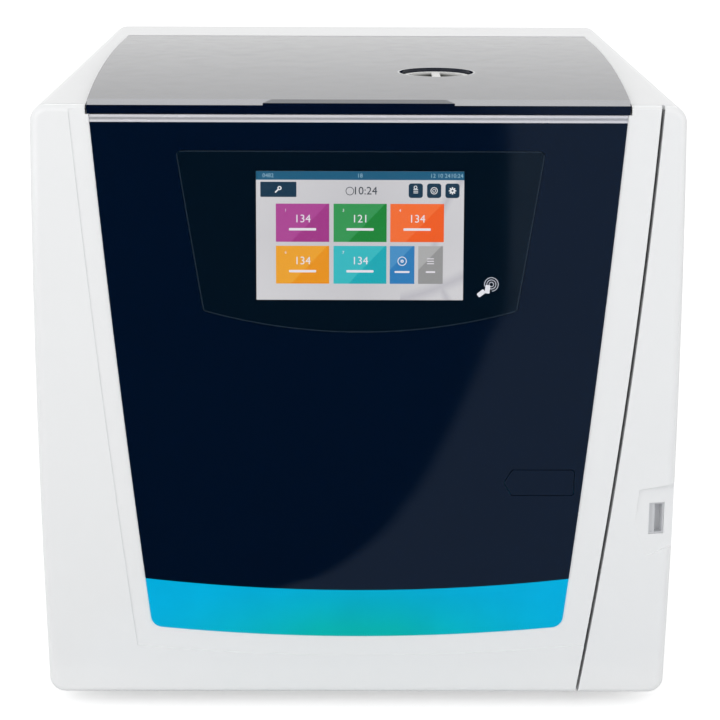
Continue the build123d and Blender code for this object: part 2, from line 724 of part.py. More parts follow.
def cheek():
    """The white front cheek beside the door, with a scooped corner for the data port."""
    low = BOTTOM_Z - 10
    outer = body_form(0) - seam_zone(SEAM_GAP, low - 5, FAR, FRONT_Y - 20, 0)
    outer = outer & block(0, FAR, FRONT_Y - 20, COVER_FRONT_Y, low, DOOR_TOP_Z)
    top = DOOR_TOP_Z - DOOR_WALL
    inner = cavity_form(DOOR_WALL) - seam_zone(SEAM_GAP + DOOR_WALL, low - 5, FAR, FRONT_Y - 20, 0)
    inner = inner & block(0, FAR, FRONT_Y - 20, 0, low, top)
    shell = outer - inner
    lip_zone = block(0, FAR, FRONT_Y - 20, 0, 0, FAR) - seam_zone(SEAM_GAP, -5, FAR, FRONT_Y - 20, 0)
    shell = shell + front_lip(lip_zone)
    wedge = polygon(
        (SCOOP_LEFT_X, front_y(SCOOP_Z) - 20),
        (SCOOP_LEFT_X, front_y(SCOOP_Z) - 0.2),
        (HALF + 4, front_y(SCOOP_Z) + SCOOP_DEPTH),
        (HALF + 4, front_y(SCOOP_Z) - 20),
    )
    scoop_side = polygon(*SCOOP_OUTLINE)
    cut = slab_y(scoop_side, FRONT_Y - 20, FRONT_Y + 40) & slab_z(wedge, 0, FAR)
    thick = polygon(
        (SCOOP_LEFT_X - 6, front_y(SCOOP_Z) - 2),
        (SCOOP_LEFT_X - 6, front_y(SCOOP_Z) + 3.5),
        (HALF - 2, front_y(SCOOP_Z) + SCOOP_DEPTH + 4),
        (HALF - 2, front_y(SCOOP_Z) - 2),
    )
    backing = slab_y(polygon(*SCOOP_BACKING), FRONT_Y - 20, FRONT_Y + 40) & slab_z(thick, 0, FAR)
    shell = shell + (backing & body_form(1.0))
    shell = shell - cut
    port = port_place() * Box(PORT_WIDTH, 60, PORT_HEIGHT)
    shell = shell - port
    foot = block(HALF - 20, INNER_HALF, COVER_FRONT_Y - 4, BULKHEAD_Y, 200, 240)
    return shell + foot


def port_place():
    turn = math.degrees(math.atan2(SCOOP_DEPTH, HALF + 4 - SCOOP_LEFT_X))
    share = (PORT_X - SCOOP_LEFT_X) / (HALF + 4 - SCOOP_LEFT_X)
    return Pos(PORT_X, front_y(SCOOP_Z) + share * SCOOP_DEPTH, PORT_Z) * Rot(0, 0, turn)


def data_port():
    """The port's moulded cup, open to the front, with a sliding cover over its left half."""
    sleeve = port_place() * Pos(0, 4.6, 0) * Box(PORT_WIDTH - 0.4, 8, PORT_HEIGHT - 0.4)
    flange = port_place() * Pos(0, 8.2, 0) * Box(PORT_WIDTH + 5, 3, PORT_HEIGHT + 5)
    well = port_place() * Pos(0, 2.0, 0) * Box(PORT_WIDTH - 2.4, 9, PORT_HEIGHT - 2.4)
    cover = port_place() * Pos(-PORT_WIDTH / 2 + 3.0, 4.0, 0) * Box(4.0, 5, PORT_HEIGHT - 2)
    return (sleeve + flange) - well + cover


def lid_crown(inset):
    """The lid's gently crowned upper surface, as a very large roller across the machine."""
    rear_z = LID_AXIS_Z + LID_ROLL_R + LID_REAR_STEP
    span = LID_AXIS_Y - LID_FRONT_Y
    radius = span ** 2 / (8 * LID_CROWN)
    tilt = math.degrees(math.atan2(LID_FRONT_Z - rear_z, span))
    middle = Pos(0, LID_AXIS_Y - span / 2, (LID_FRONT_Z + rear_z) / 2 + LID_CROWN)
    return middle * Rot(-tilt, 0, 0) * Pos(0, 0, -radius) * Rot(0, 90, 0) * Cylinder(radius - inset, FAR)


def lid_front_cut():
    """What the bevel takes off the lid's front edge, less at the finger tab."""
    edge = LID_FRONT_Y - 1
    back = LID_FRONT_Y + LID_BEVEL_DEPTH
    above = TOP_Z + 40
    cuts = []
    for edge_z in (TOP_Z, TAB_EDGE_Z):
        side = polygon((edge, edge_z), (back, LID_FRONT_Z + 0.4), (back, above), (edge, above))
        cuts.append(Pos(-HALF, 0, 0) * extrude(Plane.YZ * side, amount=WIDTH))
    tab_face = Pos(0, LID_FRONT_Y + LID_BEVEL_DEPTH / 2) * Trapezoid(
        2 * TAB_HALF + 16, LID_BEVEL_DEPTH + 4, 60
    )
    return (cuts[0] - slab_z(tab_face, TOP_Z - 5, above)) + cuts[1]


def tank_lid():
    """The dark lid: a thin crowned skin with a skirt, rolled at the rear round its rod."""
    above = TOP_Z + 20
    below = LID_SKIRT_Z - 9
    outer = slab_z(lid_outline(0, LID_FRONT_Y, LID_AXIS_Y - 2), LID_SKIRT_Z, above) & lid_crown(0)
    outer = outer - lid_front_cut()
    back = LID_FRONT_Y + LID_BEVEL_DEPTH + 2
    inner = slab_z(lid_outline(-LID_SKIN, LID_FRONT_Y + LID_SKIN, LID_AXIS_Y - 6), below, above)
    under = block(-HALF, HALF, LID_FRONT_Y, back, below, TOP_Z - 1.5)
    under = under + block(-HALF, HALF, back, LID_AXIS_Y, below, above)
    lid = outer - (inner & lid_crown(LID_SKIN) & under)
    for x in LID_RIB_XS:
        rib = block(x - 1, x + 1, LID_FRONT_Y + 20, LID_AXIS_Y - 4, TOP_Z - 2.5, above)
        lid = lid + (rib & lid_crown(LID_SKIN / 2))
    roll = rod_x(LID_AXIS_Y, LID_AXIS_Z, LID_ROLL_R, -LID_REAR_HALF + 0.2, LID_REAR_HALF - 0.2)
    collar = rod_z(FILLER_X, FILLER_Y, CAP_HOLE_R + 2.5, LID_SKIRT_Z + 1, TOP_Z + 2.5)
    lid = lid + roll + collar
    lid = lid - rod_z(FILLER_X, FILLER_Y, CAP_HOLE_R, LID_SKIRT_Z - 10, above)
    return lid - rod_x(LID_AXIS_Y, LID_AXIS_Z, LID_ROD_R + RUN_FIT, -HALF, HALF)


def lid_rod():
    end = LID_REAR_HALF + LID_GAP + 9
    return rod_x(LID_AXIS_Y, LID_AXIS_Z, LID_ROD_R, -end, end)


def tank(x0, x1):
    """A moulded water tank whose underside follows the chamber's jacket in flats."""
    under = prism_y(CHAMBER_X, CHAMBER_Z, JACKET_R + 1.5, SADDLE_SIDES, -FAR, FAR)
    inner_under = prism_y(CHAMBER_X, CHAMBER_Z, JACKET_R + 1.5 + TANK_WALL, SADDLE_SIDES, -FAR, FAR)
    outer = block(x0, x1, TANK_FRONT_Y, TANK_REAR_Y, TANK_LOW_Z, TANK_TOP_Z)
    outer = chamfer(outer.edges().filter_by(Axis.Z), 6)
    inner = block(
        x0 + TANK_WALL,
        x1 - TANK_WALL,
        TANK_FRONT_Y + TANK_WALL,
        TANK_REAR_Y - TANK_WALL,
        TANK_LOW_Z + TANK_WALL,
        TANK_TOP_Z - TANK_WALL,
    )
    inner = chamfer(inner.edges().filter_by(Axis.Z), 4.5)
    return (outer - under) - (inner - inner_under)


def clean_water_tank():
    """The clean water tank, with ribs, a square hole under the filler neck and a cleaning opening."""
    body = tank(TANK_SPLIT_X + 1, TANK_HALF)
    for x in (100, 180):
        body = body + block(x, x + 3, TANK_FRONT_Y + 20, TANK_REAR_Y - 20, TANK_TOP_Z, TANK_TOP_Z + 3)
    half = NECK_BORE_R + 2
    body = body - block(
        FILLER_X - half, FILLER_X + half, FILLER_Y - half, FILLER_Y + half, TANK_TOP_Z - 10, TANK_TOP_Z + 1
    )
    return body - block(112, 172, -140, -60, TANK_TOP_Z - 10, TANK_TOP_Z + 1)


def filler_neck():
    """The neck that the filler cap closes, on a square flange welded to the clean tank."""
    flange = block(
        FILLER_X - NECK_FLANGE, FILLER_X + NECK_FLANGE,
        FILLER_Y - NECK_FLANGE, FILLER_Y + NECK_FLANGE, TANK_TOP_Z, TANK_TOP_Z + 3
    )
    neck = flange + rod_z(FILLER_X, FILLER_Y, NECK_R, TANK_TOP_Z, NECK_TOP_Z)
    return neck - prism_z(FILLER_X, FILLER_Y, NECK_BORE_R, NECK_SIDES, TANK_TOP_Z - 1, NECK_TOP_Z + 1)


def used_water_tank():
    """The used water tank, with ribs and an opening for cleaning in its top."""
    body = tank(-TANK_HALF, TANK_SPLIT_X - 1)
    for x in (-160, -70):
        body = body + block(x, x + 3, TANK_FRONT_Y + 20, TANK_REAR_Y - 20, TANK_TOP_Z, TANK_TOP_Z + 3)
    return body - block(-145, -85, -140, -60, TANK_TOP_Z - 10, TANK_TOP_Z + 1)


def filler_cap():
    """The cap: a shallow disc with two half-moon finger pockets and a skirt."""
    disc = rod_z(FILLER_X, FILLER_Y, CAP_R, CAP_FLANGE_Z, CAP_TOP_Z)
    disc = chamfer(disc.edges().group_by(Axis.Z)[-1], 1.0)
    pocket = Pos(FILLER_X, FILLER_Y, CAP_TOP_Z - 7) * extrude(Circle(CAP_POCKET_R), amount=9)
    bar = block(
        FILLER_X - CAP_BAR / 2, FILLER_X + CAP_BAR / 2, FILLER_Y - CAP_R, FILLER_Y + CAP_R, 0, FAR
    )
    disc = disc - (pocket - bar)
    skirt = rod_z(FILLER_X, FILLER_Y, NECK_BORE_R - 0.5, CAP_FLANGE_Z - 10, CAP_FLANGE_Z)
    return disc + skirt - rod_z(FILLER_X, FILLER_Y, NECK_BORE_R - 3, CAP_FLANGE_Z - 11, CAP_FLANGE_Z - 1)


def cap_seal():
    """The flat ring under the cap's flange."""
    ring = rod_z(FILLER_X, FILLER_Y, NECK_R - 0.5, NECK_TOP_Z, CAP_FLANGE_Z)
    return ring - rod_z(FILLER_X, FILLER_Y, NECK_BORE_R + 0.5, NECK_TOP_Z - 1, CAP_FLANGE_Z + 1)


def base_tray():
    """The folded sheet base, with side flanges and rows of air slots."""
    front = BULKHEAD_Y - 2
    rear = REAR_PANEL_Y + REAR_PANEL_THICK
    tray = block(-BASE_HALF, BASE_HALF, front, rear, BASE_LOW_Z, BASE_TOP_Z)
    for side in (-1, 1):
        x = side * (BASE_HALF - BASE_THICK / 2)
        half = BASE_THICK / 2
        y0 = BULKHEAD_BACK_Y + 1
        tray = tray + block(x - half, x + half, y0, REAR_PANEL_Y - 1, BASE_LOW_Z, BASE_TOP_Z + BASE_FLANGE)
    for i in range(BASE_SLOTS):
        y = BULKHEAD_Y + 66 + i * BASE_SLOT_PITCH
        for x in (-60, 60):
            tray = tray - block(x - 30, x + 30, y - 3, y + 3, BASE_LOW_Z - 1, BASE_TOP_Z + 1)
    return tray


def inner_sheet(y0, y1, top):
    """A flat wall that fills the cover's inside, standing on the base tray."""
    face = Rectangle(WIDTH - 2 * INNER_INSET, SPAN_Z - 2 * INNER_INSET)
    face = Pos(0, MID_Z) * chamfer(face.vertices(), CORNER_R - INNER_INSET)
    return slab_y(face, y0, y1) & block(-FAR, FAR, y0, y1, BASE_TOP_Z, top)


def rubber_feet():
    feet = []
    for x in (-190, 190):
        for y in (-196, 240):
            feet.append(Pos(x, y, 0) * extrude(
                RegularPolygon(FOOT_R, FOOT_SIDES), amount=BASE_LOW_Z, taper=4
            ))
    return Compound(children=feet)


def front_bulkhead():
    plate = inner_sheet(BULKHEAD_Y, BULKHEAD_BACK_Y, LID_SKIRT_Z - 1)
    plate = plate - rod_y(CHAMBER_X, CHAMBER_Z, BULKHEAD_HOLE_R, BULKHEAD_Y - 1, BULKHEAD_BACK_Y + 1)
    for z in TONGUE_LEVELS:
        x0 = BOLT_X - TONGUE_HALF - 2.5
        x1 = BOLT_X + TONGUE_HALF + 4.5
        plate = plate - block(x0, x1, BULKHEAD_Y - 1, BULKHEAD_BACK_Y + 1, z - 5, z + 5)
    plate = plate - prism_y(FILTER_X, FILTER_Z, FILTER_R + 4, 12, BULKHEAD_Y - 1, BULKHEAD_BACK_Y + 1)
    for x in DRAIN_XS:
        plate = plate - prism_y(x, DRAIN_Z, DRAIN_R, 8, BULKHEAD_Y - 1, BULKHEAD_BACK_Y + 1)
    return plate


def chamber_vessel():
    """The vessel: a plain barrel with a flat welded end."""
    y0 = BULKHEAD_BACK_Y
    y1 = y0 + CHAMBER_LENGTH + DISH_DEPTH
    barrel = rod_y(CHAMBER_X, CHAMBER_Z, CHAMBER_R + CHAMBER_WALL, y0, y1 + CHAMBER_WALL)
    return barrel - rod_y(CHAMBER_X, CHAMBER_Z, CHAMBER_R, y0 - 1, y1)


def chamber_flange():
    """The eight-sided plate round the vessel's mouth, with a step that seats the gasket."""
    y0 = BULKHEAD_BACK_Y
    y1 = y0 + FLANGE_THICK
    plate = prism_y(CHAMBER_X, CHAMBER_Z, FLANGE_R, 8, y0, y1)
    plate = plate - rod_y(CHAMBER_X, CHAMBER_Z, CHAMBER_R + CHAMBER_WALL, y0 - 1, y1 + 1)
    return plate - rod_y(CHAMBER_X, CHAMBER_Z, GASKET_OUT_R + 0.2, y0 - 1, y0 + GASKET_DEPTH)


def door_gasket():
    """The square-section ring between the vessel's rim and the flange's step."""
    y0 = BULKHEAD_BACK_Y - GASKET_PROUD
    return tube_y(CHAMBER_X, CHAMBER_Z, GASKET_OUT_R, GASKET_IN_R, y0, BULKHEAD_BACK_Y + GASKET_DEPTH)


def heater_bands():
    """Four heating strips along the vessel's barrel."""
    r0 = CHAMBER_R + CHAMBER_WALL
    y0 = BULKHEAD_BACK_Y + FLANGE_THICK + 20
    y1 = y0 + HEATER_LENGTH
    ring = tube_y(CHAMBER_X, CHAMBER_Z, r0 + HEATER_THICK, r0, y0, y1)
    strips = []
    for i in range(4):
        sector = Pos(CHAMBER_X, 0, CHAMBER_Z) * Rot(0, 45 + i * 90, 0) * block(
            0, FAR, y0, y1, -HEATER_HALF, HEATER_HALF
        )
        strips.append((ring & sector).solids()[0])
    return Compound(children=strips)


def chamber_jacket():
    """The insulation: felt wrapped round the barrel in flat folds."""
    y0 = BULKHEAD_BACK_Y + FLANGE_THICK
    y1 = y0 + CHAMBER_LENGTH - FLANGE_THICK - 4
    flat = JACKET_R * math.cos(math.pi / JACKET_SIDES)
    inner = CHAMBER_R + CHAMBER_WALL + HEATER_THICK + SEAT_GAP
    wrap = prism_y(CHAMBER_X, CHAMBER_Z, flat, JACKET_SIDES, y0, y1)
    return wrap - prism_y(CHAMBER_X, CHAMBER_Z, inner, JACKET_SIDES, y0 - 1, y1 + 1)


def chamber_saddles():
    """Two plates under the chamber and the tanks, cut away round the jacket in flats."""
    plates = []
    for y in SADDLE_YS:
        y0 = y - SADDLE_THICK / 2
        y1 = y + SADDLE_THICK / 2
        hollow = prism_y(CHAMBER_X, CHAMBER_Z, JACKET_R, SADDLE_SIDES, y0 - 1, y1 + 1)
        for side in (-1, 1):
            leg = block(*sorted((side * SADDLE_HALF, CHAMBER_X)), y0, y1, BASE_TOP_Z, SADDLE_TOP_Z)
            plates.append(leg)
        post = block(-SADDLE_HALF, -SADDLE_HALF + 40, y0, y1, BASE_TOP_Z, TANK_LOW_Z)
        post = post + block(SADDLE_HALF - 40, SADDLE_HALF, y0, y1, BASE_TOP_Z, TANK_LOW_Z)
        plates[-2:] = [(joined(plates[-2:]) + post) - hollow]
    return Compound(children=plates)


def tray_rack():
    """A folded sheet rack: two side walls with runners, cross bars and two skids."""
    pieces = []
    for side in (-1, 1):
        x_out = CHAMBER_X + side * RACK_HALF
        x_in = x_out - side * SHEET
        lo, hi = min(x_out, x_in), max(x_out, x_in)
        pieces.append(block(lo, hi, RACK_FRONT_Y, RACK_REAR_Y, RACK_LOW_Z, RACK_HIGH_Z))
        for z in RACK_LEVELS:
            x_tip = x_out - side * 12
            lo, hi = min(x_out, x_tip), max(x_out, x_tip)
            pieces.append(block(lo, hi, RACK_FRONT_Y, RACK_REAR_Y, z - SHEET, z))
        skid_x = CHAMBER_X + side * 60
        reach = math.sqrt((CHAMBER_R - SEAT_GAP) ** 2 - 61.5 ** 2)
        pieces.append(
            block(
                skid_x - 1.5, skid_x + 1.5, RACK_FRONT_Y, RACK_REAR_Y, CHAMBER_Z - reach + 0.1, RACK_LOW_Z + 1
            )
        )
    rack = joined(pieces)
    for y in (RACK_FRONT_Y + 10, -8, RACK_REAR_Y - 26):
        rack = rack + block(
            CHAMBER_X - RACK_HALF, CHAMBER_X + RACK_HALF, y, y + 16, RACK_LOW_Z, RACK_LOW_Z + SHEET
        )
        rack = rack + block(
            CHAMBER_X - RACK_HALF, CHAMBER_X + RACK_HALF, y, y + 16, RACK_HIGH_Z - SHEET, RACK_HIGH_Z
        )
    return rack


def tray(level):
    """A folded tray with rows of slots and a rolled front lip to grip."""
    x0 = CHAMBER_X - TRAY_HALF
    x1 = CHAMBER_X + TRAY_HALF
    lip_y = RACK_FRONT_Y - 3
    body = block(x0, x1, RACK_FRONT_Y + 2, RACK_REAR_Y - 4, level, level + TRAY_HEIGHT)
    body = chamfer(body.edges().filter_by(Axis.Z), 5)
    inner = block(
        x0 + TRAY_WALL,
        x1 - TRAY_WALL,
        RACK_FRONT_Y + 2 + TRAY_WALL,
        RACK_REAR_Y - 4 - TRAY_WALL,
        level + TRAY_WALL,
        level + TRAY_HEIGHT + 1,
    )
    body = body - chamfer(inner.edges().filter_by(Axis.Z), 4.5)
    for i in range(TRAY_SLOTS):
        y = RACK_FRONT_Y + 32 + i * TRAY_SLOT_PITCH
        body = body - block(CHAMBER_X - 55, CHAMBER_X + 55, y - 3, y + 3, level - 1, level + TRAY_WALL + 1)
    lip = block(
        CHAMBER_X - 30, CHAMBER_X + 30, lip_y, lip_y + 6, level + TRAY_HEIGHT - TRAY_WALL, level + TRAY_HEIGHT
    )
    return body + lip


def steam_generator():
    """The generator: a pressure body with a bolted end cover, on two feet."""
    z = BASE_TOP_Z + 42
    body = prism_y(168, z, 33, 12, -80, 60) + prism_y(168, z, 27, 6, -90, -80)
    for y in (-60, 40):
        body = body + block(140, 196, y - 4, y + 4, BASE_TOP_Z, BASE_TOP_Z + 30)
    return body + block(162, 174, -16, -4, BASE_TOP_Z + 70, BASE_TOP_Z + 90)


def vacuum_pump():
    """The pump: a ribbed motor with its head and foot."""
    z = BASE_TOP_Z + 44
    motor = prism_y(-180, z, 27, 12, -60, 50)
    head = block(-212, -148, 50, 96, BASE_TOP_Z + 12, BASE_TOP_Z + 78)
    head = chamfer(head.edges().filter_by(Axis.Y), 6)
    foot = block(-214, -146, -50, 90, BASE_TOP_Z, BASE_TOP_Z + 19)
    pump = motor + head + foot
    for i in range(PUMP_RIBS):
        y = -44 + i * 32
        pump = pump + prism_y(-180, z, 31, 8, y, y + 4)
    return pump


def valve_block():
    """A row of solenoid valves on one manifold."""
    y0 = SADDLE_YS[1] + SADDLE_THICK / 2
    body = block(-222, -196, y0, y0 + 90, 130, 300)
    for i in range(4):
        z = 150 + i * 40
        coil = block(-197, -174, y0 + 17, y0 + 43, z - 13, z + 13)
        body = body + chamfer(coil.edges().filter_by(Axis.X), 4) + block(
            -197, -186, y0 + 56, y0 + 80, z - 10, z + 10
        )
    return body


def condenser():
    """The finned condenser in front of the fan."""
    y1 = FAN_FRONT_Y
    fins = []
    core = block(156, 162, y1 - 24, y1, 150, 300) + block(216, 222, y1 - 24, y1, 150, 300)
    for i in range(FIN_COUNT):
        z = 152 + i * (146 / (FIN_COUNT - 1))
        fins.append(block(161, 217, y1 - 23, y1 - 1, z - 0.8, z + 0.8))
    return joined([core] + fins)


def fan_housing():
    frame = block(FAN_X - 36, FAN_X + 36, FAN_FRONT_Y, REAR_PANEL_Y, FAN_Z - 36, FAN_Z + 36)
    frame = chamfer(frame.edges().filter_by(Axis.Y), 4)
    frame = frame - rod_y(FAN_X, FAN_Z, FAN_R + 1.5, FAN_FRONT_Y - 1, REAR_PANEL_Y + 1)
    for i in range(3):
        spoke = Pos(FAN_X, 0, FAN_Z) * Rot(0, i * 120, 0) * block(
            0, 34, REAR_PANEL_Y - 3, REAR_PANEL_Y, -2, 2
        )
        frame = frame + spoke
    frame = frame + prism_y(FAN_X, FAN_Z, 12, 8, REAR_PANEL_Y - 3, REAR_PANEL_Y)
    return frame + rod_y(FAN_X, FAN_Z, 2.0, FAN_FRONT_Y + 4, REAR_PANEL_Y - 2)


def fan_rotor():
    """Seven pitched blades on a hub that turns on the housing's spindle."""
    y0 = FAN_FRONT_Y + 3
    y1 = REAR_PANEL_Y - 4
    rotor = prism_y(FAN_X, FAN_Z, 12, 14, y0, y1)
    for i in range(FAN_BLADES):
        blade = Pos(FAN_X, (y0 + y1) / 2, FAN_Z) * Rot(0, i * 360 / FAN_BLADES, 0) * Pos(20, 0, 0)
        blade = blade * Rot(38, 0, 0) * Box(20, y1 - y0 - 3, 1.4)
        rotor = rotor + blade
    return rotor - rod_y(FAN_X, FAN_Z, 2.0 + RUN_FIT, y0 + 1, y1 + 1)


def rear_panel():
    """The rear sheet: two banks of pressed louvres, a fan grille and cut-outs."""
    y0 = REAR_PANEL_Y
    y1 = y0 + REAR_PANEL_THICK
    panel = inner_sheet(y0, y1, TOP_Z)
    louvre_face = polygon((y1 - 0.5, 0), (y1 + 4.5, 0), (y1 - 0.5, 7))
    for x in LOUVRE_XS:
        for i in range(LOUVRE_COUNT):
            z = LOUVRE_LOW_Z + i * LOUVRE_PITCH
            panel = panel - block(x - 40, x + 40, y0 - 1, y1 + 1, z + 1.2, z + 5)
            hood = Pos(x - 42, 0, z) * extrude(Plane.YZ * louvre_face, amount=84)
            panel = panel + (hood - Pos(0, -1.6, -1.2) * hood)
    for i in range(-GRILLE_ROWS, GRILLE_ROWS + 1):
        z = FAN_Z + i * GRILLE_PITCH
        reach = math.sqrt(FAN_R ** 2 - (i * GRILLE_PITCH) ** 2)
        for x0, x1 in ((FAN_X - reach, FAN_X - 1.5), (FAN_X + 1.5, FAN_X + reach)):
            panel = panel - block(x0, x1, y0 - 1, y1 + 1, z - 2.2, z + 2.2)
    panel = panel - block(INLET_X - 24, INLET_X + 24, y0 - 1, y1 + 1, INLET_Z - 14, INLET_Z + 14)
    panel = panel - block(SWITCH_X - 11, SWITCH_X + 11, y0 - 1, y1 + 1, INLET_Z - 14, INLET_Z + 14)
    panel = panel - prism_y(VALVE_X, VALVE_Z, 9.6, 6, y0 - 1, y1 + 1)
    panel = panel - prism_y(SPIGOT_X, SPIGOT_Z, 6.2, 8, y0 - 1, y1 + 1)
    return panel


def panel_screws():
    """Hexagon heads round the rear panel's edge."""
    screws = []
    for x in (-222, 222):
        for z in (40, 180, 320, 450):
            y = REAR_PANEL_Y + REAR_PANEL_THICK
            screws.append(prism_y(x, z, 3.6, 6, y, y + 2.8))
    return Compound(children=screws)


def mains_inlet():
    """The mains inlet: a shrouded recess with three blades, and the switch's frame beside it."""
    y1 = REAR_PANEL_Y + REAR_PANEL_THICK
    body = block(INLET_X - 23.7, INLET_X + 23.7, y1 - 30, y1, INLET_Z - 13.7, INLET_Z + 13.7)
    flange = block(INLET_X - 28, INLET_X + 28, y1, y1 + 2, INLET_Z - 17, INLET_Z + 17)
    inlet = body + flange
    inlet = inlet - block(INLET_X - 13, INLET_X + 13, y1 - 18, y1 + 3, INLET_Z - 9, INLET_Z + 9)
    for x, z in ((-7, -2), (7, -2), (0, 3)):
        inlet = inlet + block(
            INLET_X + x - 1, INLET_X + x + 1, y1 - 19, y1 - 5, INLET_Z + z - 2.5, INLET_Z + z + 2.5
        )
    frame = block(SWITCH_X - 10.7, SWITCH_X + 10.7, y1 - 22, y1, INLET_Z - 13.7, INLET_Z + 13.7)
    frame = frame + block(SWITCH_X - 12.5, INLET_X - 27, y1, y1 + 2, INLET_Z - 17, INLET_Z + 17)
    frame = frame - block(SWITCH_X - 8.5, SWITCH_X + 8.5, y1 - 14, y1 + 3, INLET_Z - 12, INLET_Z + 12)
    frame = frame - rod_x(y1 - SWITCH_PIVOT, INLET_Z, SWITCH_PIN_R + RUN_FIT, SWITCH_X - 9.8, SWITCH_X + 9.8)
    return inlet + frame


def power_switch():
    """The rocker, pivoted in its frame and tipped to its off side at rest."""
    y1 = REAR_PANEL_Y + REAR_PANEL_THICK
    rocker = block(SWITCH_X - 8.2, SWITCH_X + 8.2, y1 - 9, y1 + 2.0, INLET_Z - 10.2, INLET_Z + 10.2)
    rocker = rocker - rod_x(y1 + 22, INLET_Z, 22.5, SWITCH_X - 10, SWITCH_X + 10)
    pivot_y = y1 - SWITCH_PIVOT
    rocker = rocker + rod_x(pivot_y, INLET_Z, SWITCH_PIN_R, SWITCH_X - 9.5, SWITCH_X + 9.5)
    return Pos(0, pivot_y, INLET_Z) * Rot(SWITCH_TIP, 0, 0) * Pos(0, -pivot_y, -INLET_Z) * rocker


def drain_spigot():
    """The drain hose barb, with its nut against the rear panel."""
    y1 = REAR_PANEL_Y + REAR_PANEL_THICK
    nut = Pos(SPIGOT_X, y1, SPIGOT_Z) * Rot(-90, 0, 0) * extrude(RegularPolygon(9, 6), amount=4)
    body = prism_y(SPIGOT_X, SPIGOT_Z, 6.0, 8, y1 - 12, y1 + 1)
    stem = rod_y(SPIGOT_X, SPIGOT_Z, SPIGOT_R, y1 + 3, y1 + 3 + SPIGOT_LENGTH)
    return nut + body + stem - rod_y(SPIGOT_X, SPIGOT_Z, 3, y1 - 13, y1 + 40)


def safety_valve():
    """The valve's hexagon body, its pipe from the chamber and the stem for its cap."""
    y1 = REAR_PANEL_Y + REAR_PANEL_THICK
    back = BULKHEAD_BACK_Y + CHAMBER_LENGTH
    body = prism_y(VALVE_X, VALVE_Z, 9.4, 6, y1 - 12, y1 + 6)
    pipe = prism_y(VALVE_X, VALVE_Z, 5, 8, back + DISH_DEPTH + CHAMBER_WALL, y1 - 11)
    return body + pipe + rod_y(VALVE_X, VALVE_Z, 3, y1 + 5, y1 + 12)


def safety_valve_cap():
    """The cap that is pulled to test the valve, with ten grip flats."""
    y1 = REAR_PANEL_Y + REAR_PANEL_THICK + 6
    cap = prism_y(VALVE_X, VALVE_Z, 9, 10, y1 + SEAT_GAP, y1 + 10)
    cap = cap + prism_y(VALVE_X, VALVE_Z, 10, 10, y1 + 7, y1 + 10)
    return cap - rod_y(VALVE_X, VALVE_Z, 3 + RUN_FIT, y1 - 1, y1 + 7)


def main_board():
    x = SADDLE_HALF
    board = block(x, x + 1.6, -150, 170, 60, 320)
    for y, z, size in ((-90, 250, 26), (-50, 120, 34), (20, 220, 22), (60, 100, 30), (110, 270, 28)):
        board = board + block(x - 9, x + 0.2, y - size / 2, y + size / 2, z - size / 2, z + size / 2)
    return board


def pipework():
    """Short rigid pipes between the generator, the chamber and the pump."""
    z0 = BASE_TOP_Z + 90
    half = 3.5
    steam = block(168 - half, 168 + half, -10 - half, -10 + half, z0, z0 + 90)
    steam = steam + block(
        CHAMBER_X + JACKET_R + 0.3, 168, -10 - half, -10 + half, z0 + 90 - 2 * half, z0 + 90
    )
    z1 = BASE_TOP_Z + 78
    vacuum = block(-180 - half, -180 + half, 73 - half, 73 + half, z1, z1 + 50)
    reach = CHAMBER_X - JACKET_R + 1.6
    vacuum = vacuum + block(-180, reach, 73 - half, 73 + half, z1 + 50 - 2 * half, z1 + 50)
    return Compound(children=[steam, vacuum])


def filter_socket():
    """The cup behind the bulkhead that holds the filter."""
    y0 = BULKHEAD_BACK_Y
    cup = prism_y(FILTER_X, FILTER_Z, FILTER_R + 7, 12, y0, y0 + 50)
    return cup - prism_y(FILTER_X, FILTER_Z, FILTER_R + 3, 12, y0 - 1, y0 + 47)


def bacteria_filter():
    """The screw-in filter: a canister with a winged knob."""
    y0 = BULKHEAD_Y - 1
    can = rod_y(FILTER_X, FILTER_Z, FILTER_R + 2.6, y0, y0 + 30)
    can = can + prism_y(FILTER_X, FILTER_Z, FILTER_R - 3, 12, y0 + 29, y0 + 49.7)
    wing = block(FILTER_X - 20, FILTER_X + 20, y0 - 6, y0 + 1, FILTER_Z - 3, FILTER_Z + 3)
    return can + chamfer(wing.edges().filter_by(Axis.Y), 2)


def drain_couplings():
    """Two quick couplings in the bulkhead, each with its hexagon collar."""
    couplings = []
    for x in DRAIN_XS:
        ring = prism_y(x, DRAIN_Z, DRAIN_R - 0.5, 8, BULKHEAD_Y - 5, BULKHEAD_BACK_Y + 16)
        collar = prism_y(x, DRAIN_Z, DRAIN_R + 2, 6, BULKHEAD_Y - 3, BULKHEAD_Y)
        couplings.append(ring + collar - prism_y(x, DRAIN_Z, 4.5, 8, BULKHEAD_Y - 6, BULKHEAD_BACK_Y + 10))
    return Compound(children=couplings)


def hinge_brackets():
    """The two fixed brackets: an arm, a knuckle and a plate on the bulkhead."""
    brackets = []
    for low, high in BRACKET_LEVELS:
        arm = block(HINGE_X - ARM_HALF, HINGE_X + ARM_HALF, HINGE_Y, BULKHEAD_Y - 2, low, high)
        knuckle = rod_z(HINGE_X, HINGE_Y, KNUCKLE_R, low, high)
        plate = block(HINGE_X - ARM_HALF, HINGE_X + 30, BULKHEAD_Y - 3, BULKHEAD_Y, low, high)
        brackets.append(arm + knuckle + plate - rod_z(HINGE_X, HINGE_Y, PIN_R, low - 1, high + 1))
    return Compound(children=brackets)


def hinge_pins():
    low = rod_z(HINGE_X, HINGE_Y, PIN_R, BRACKET_LEVELS[0][0], KNUCKLE_LEVELS[0][1])
    high = rod_z(HINGE_X, HINGE_Y, PIN_R, KNUCKLE_LEVELS[1][0], BRACKET_LEVELS[1][1])
    return Compound(children=[low, high])


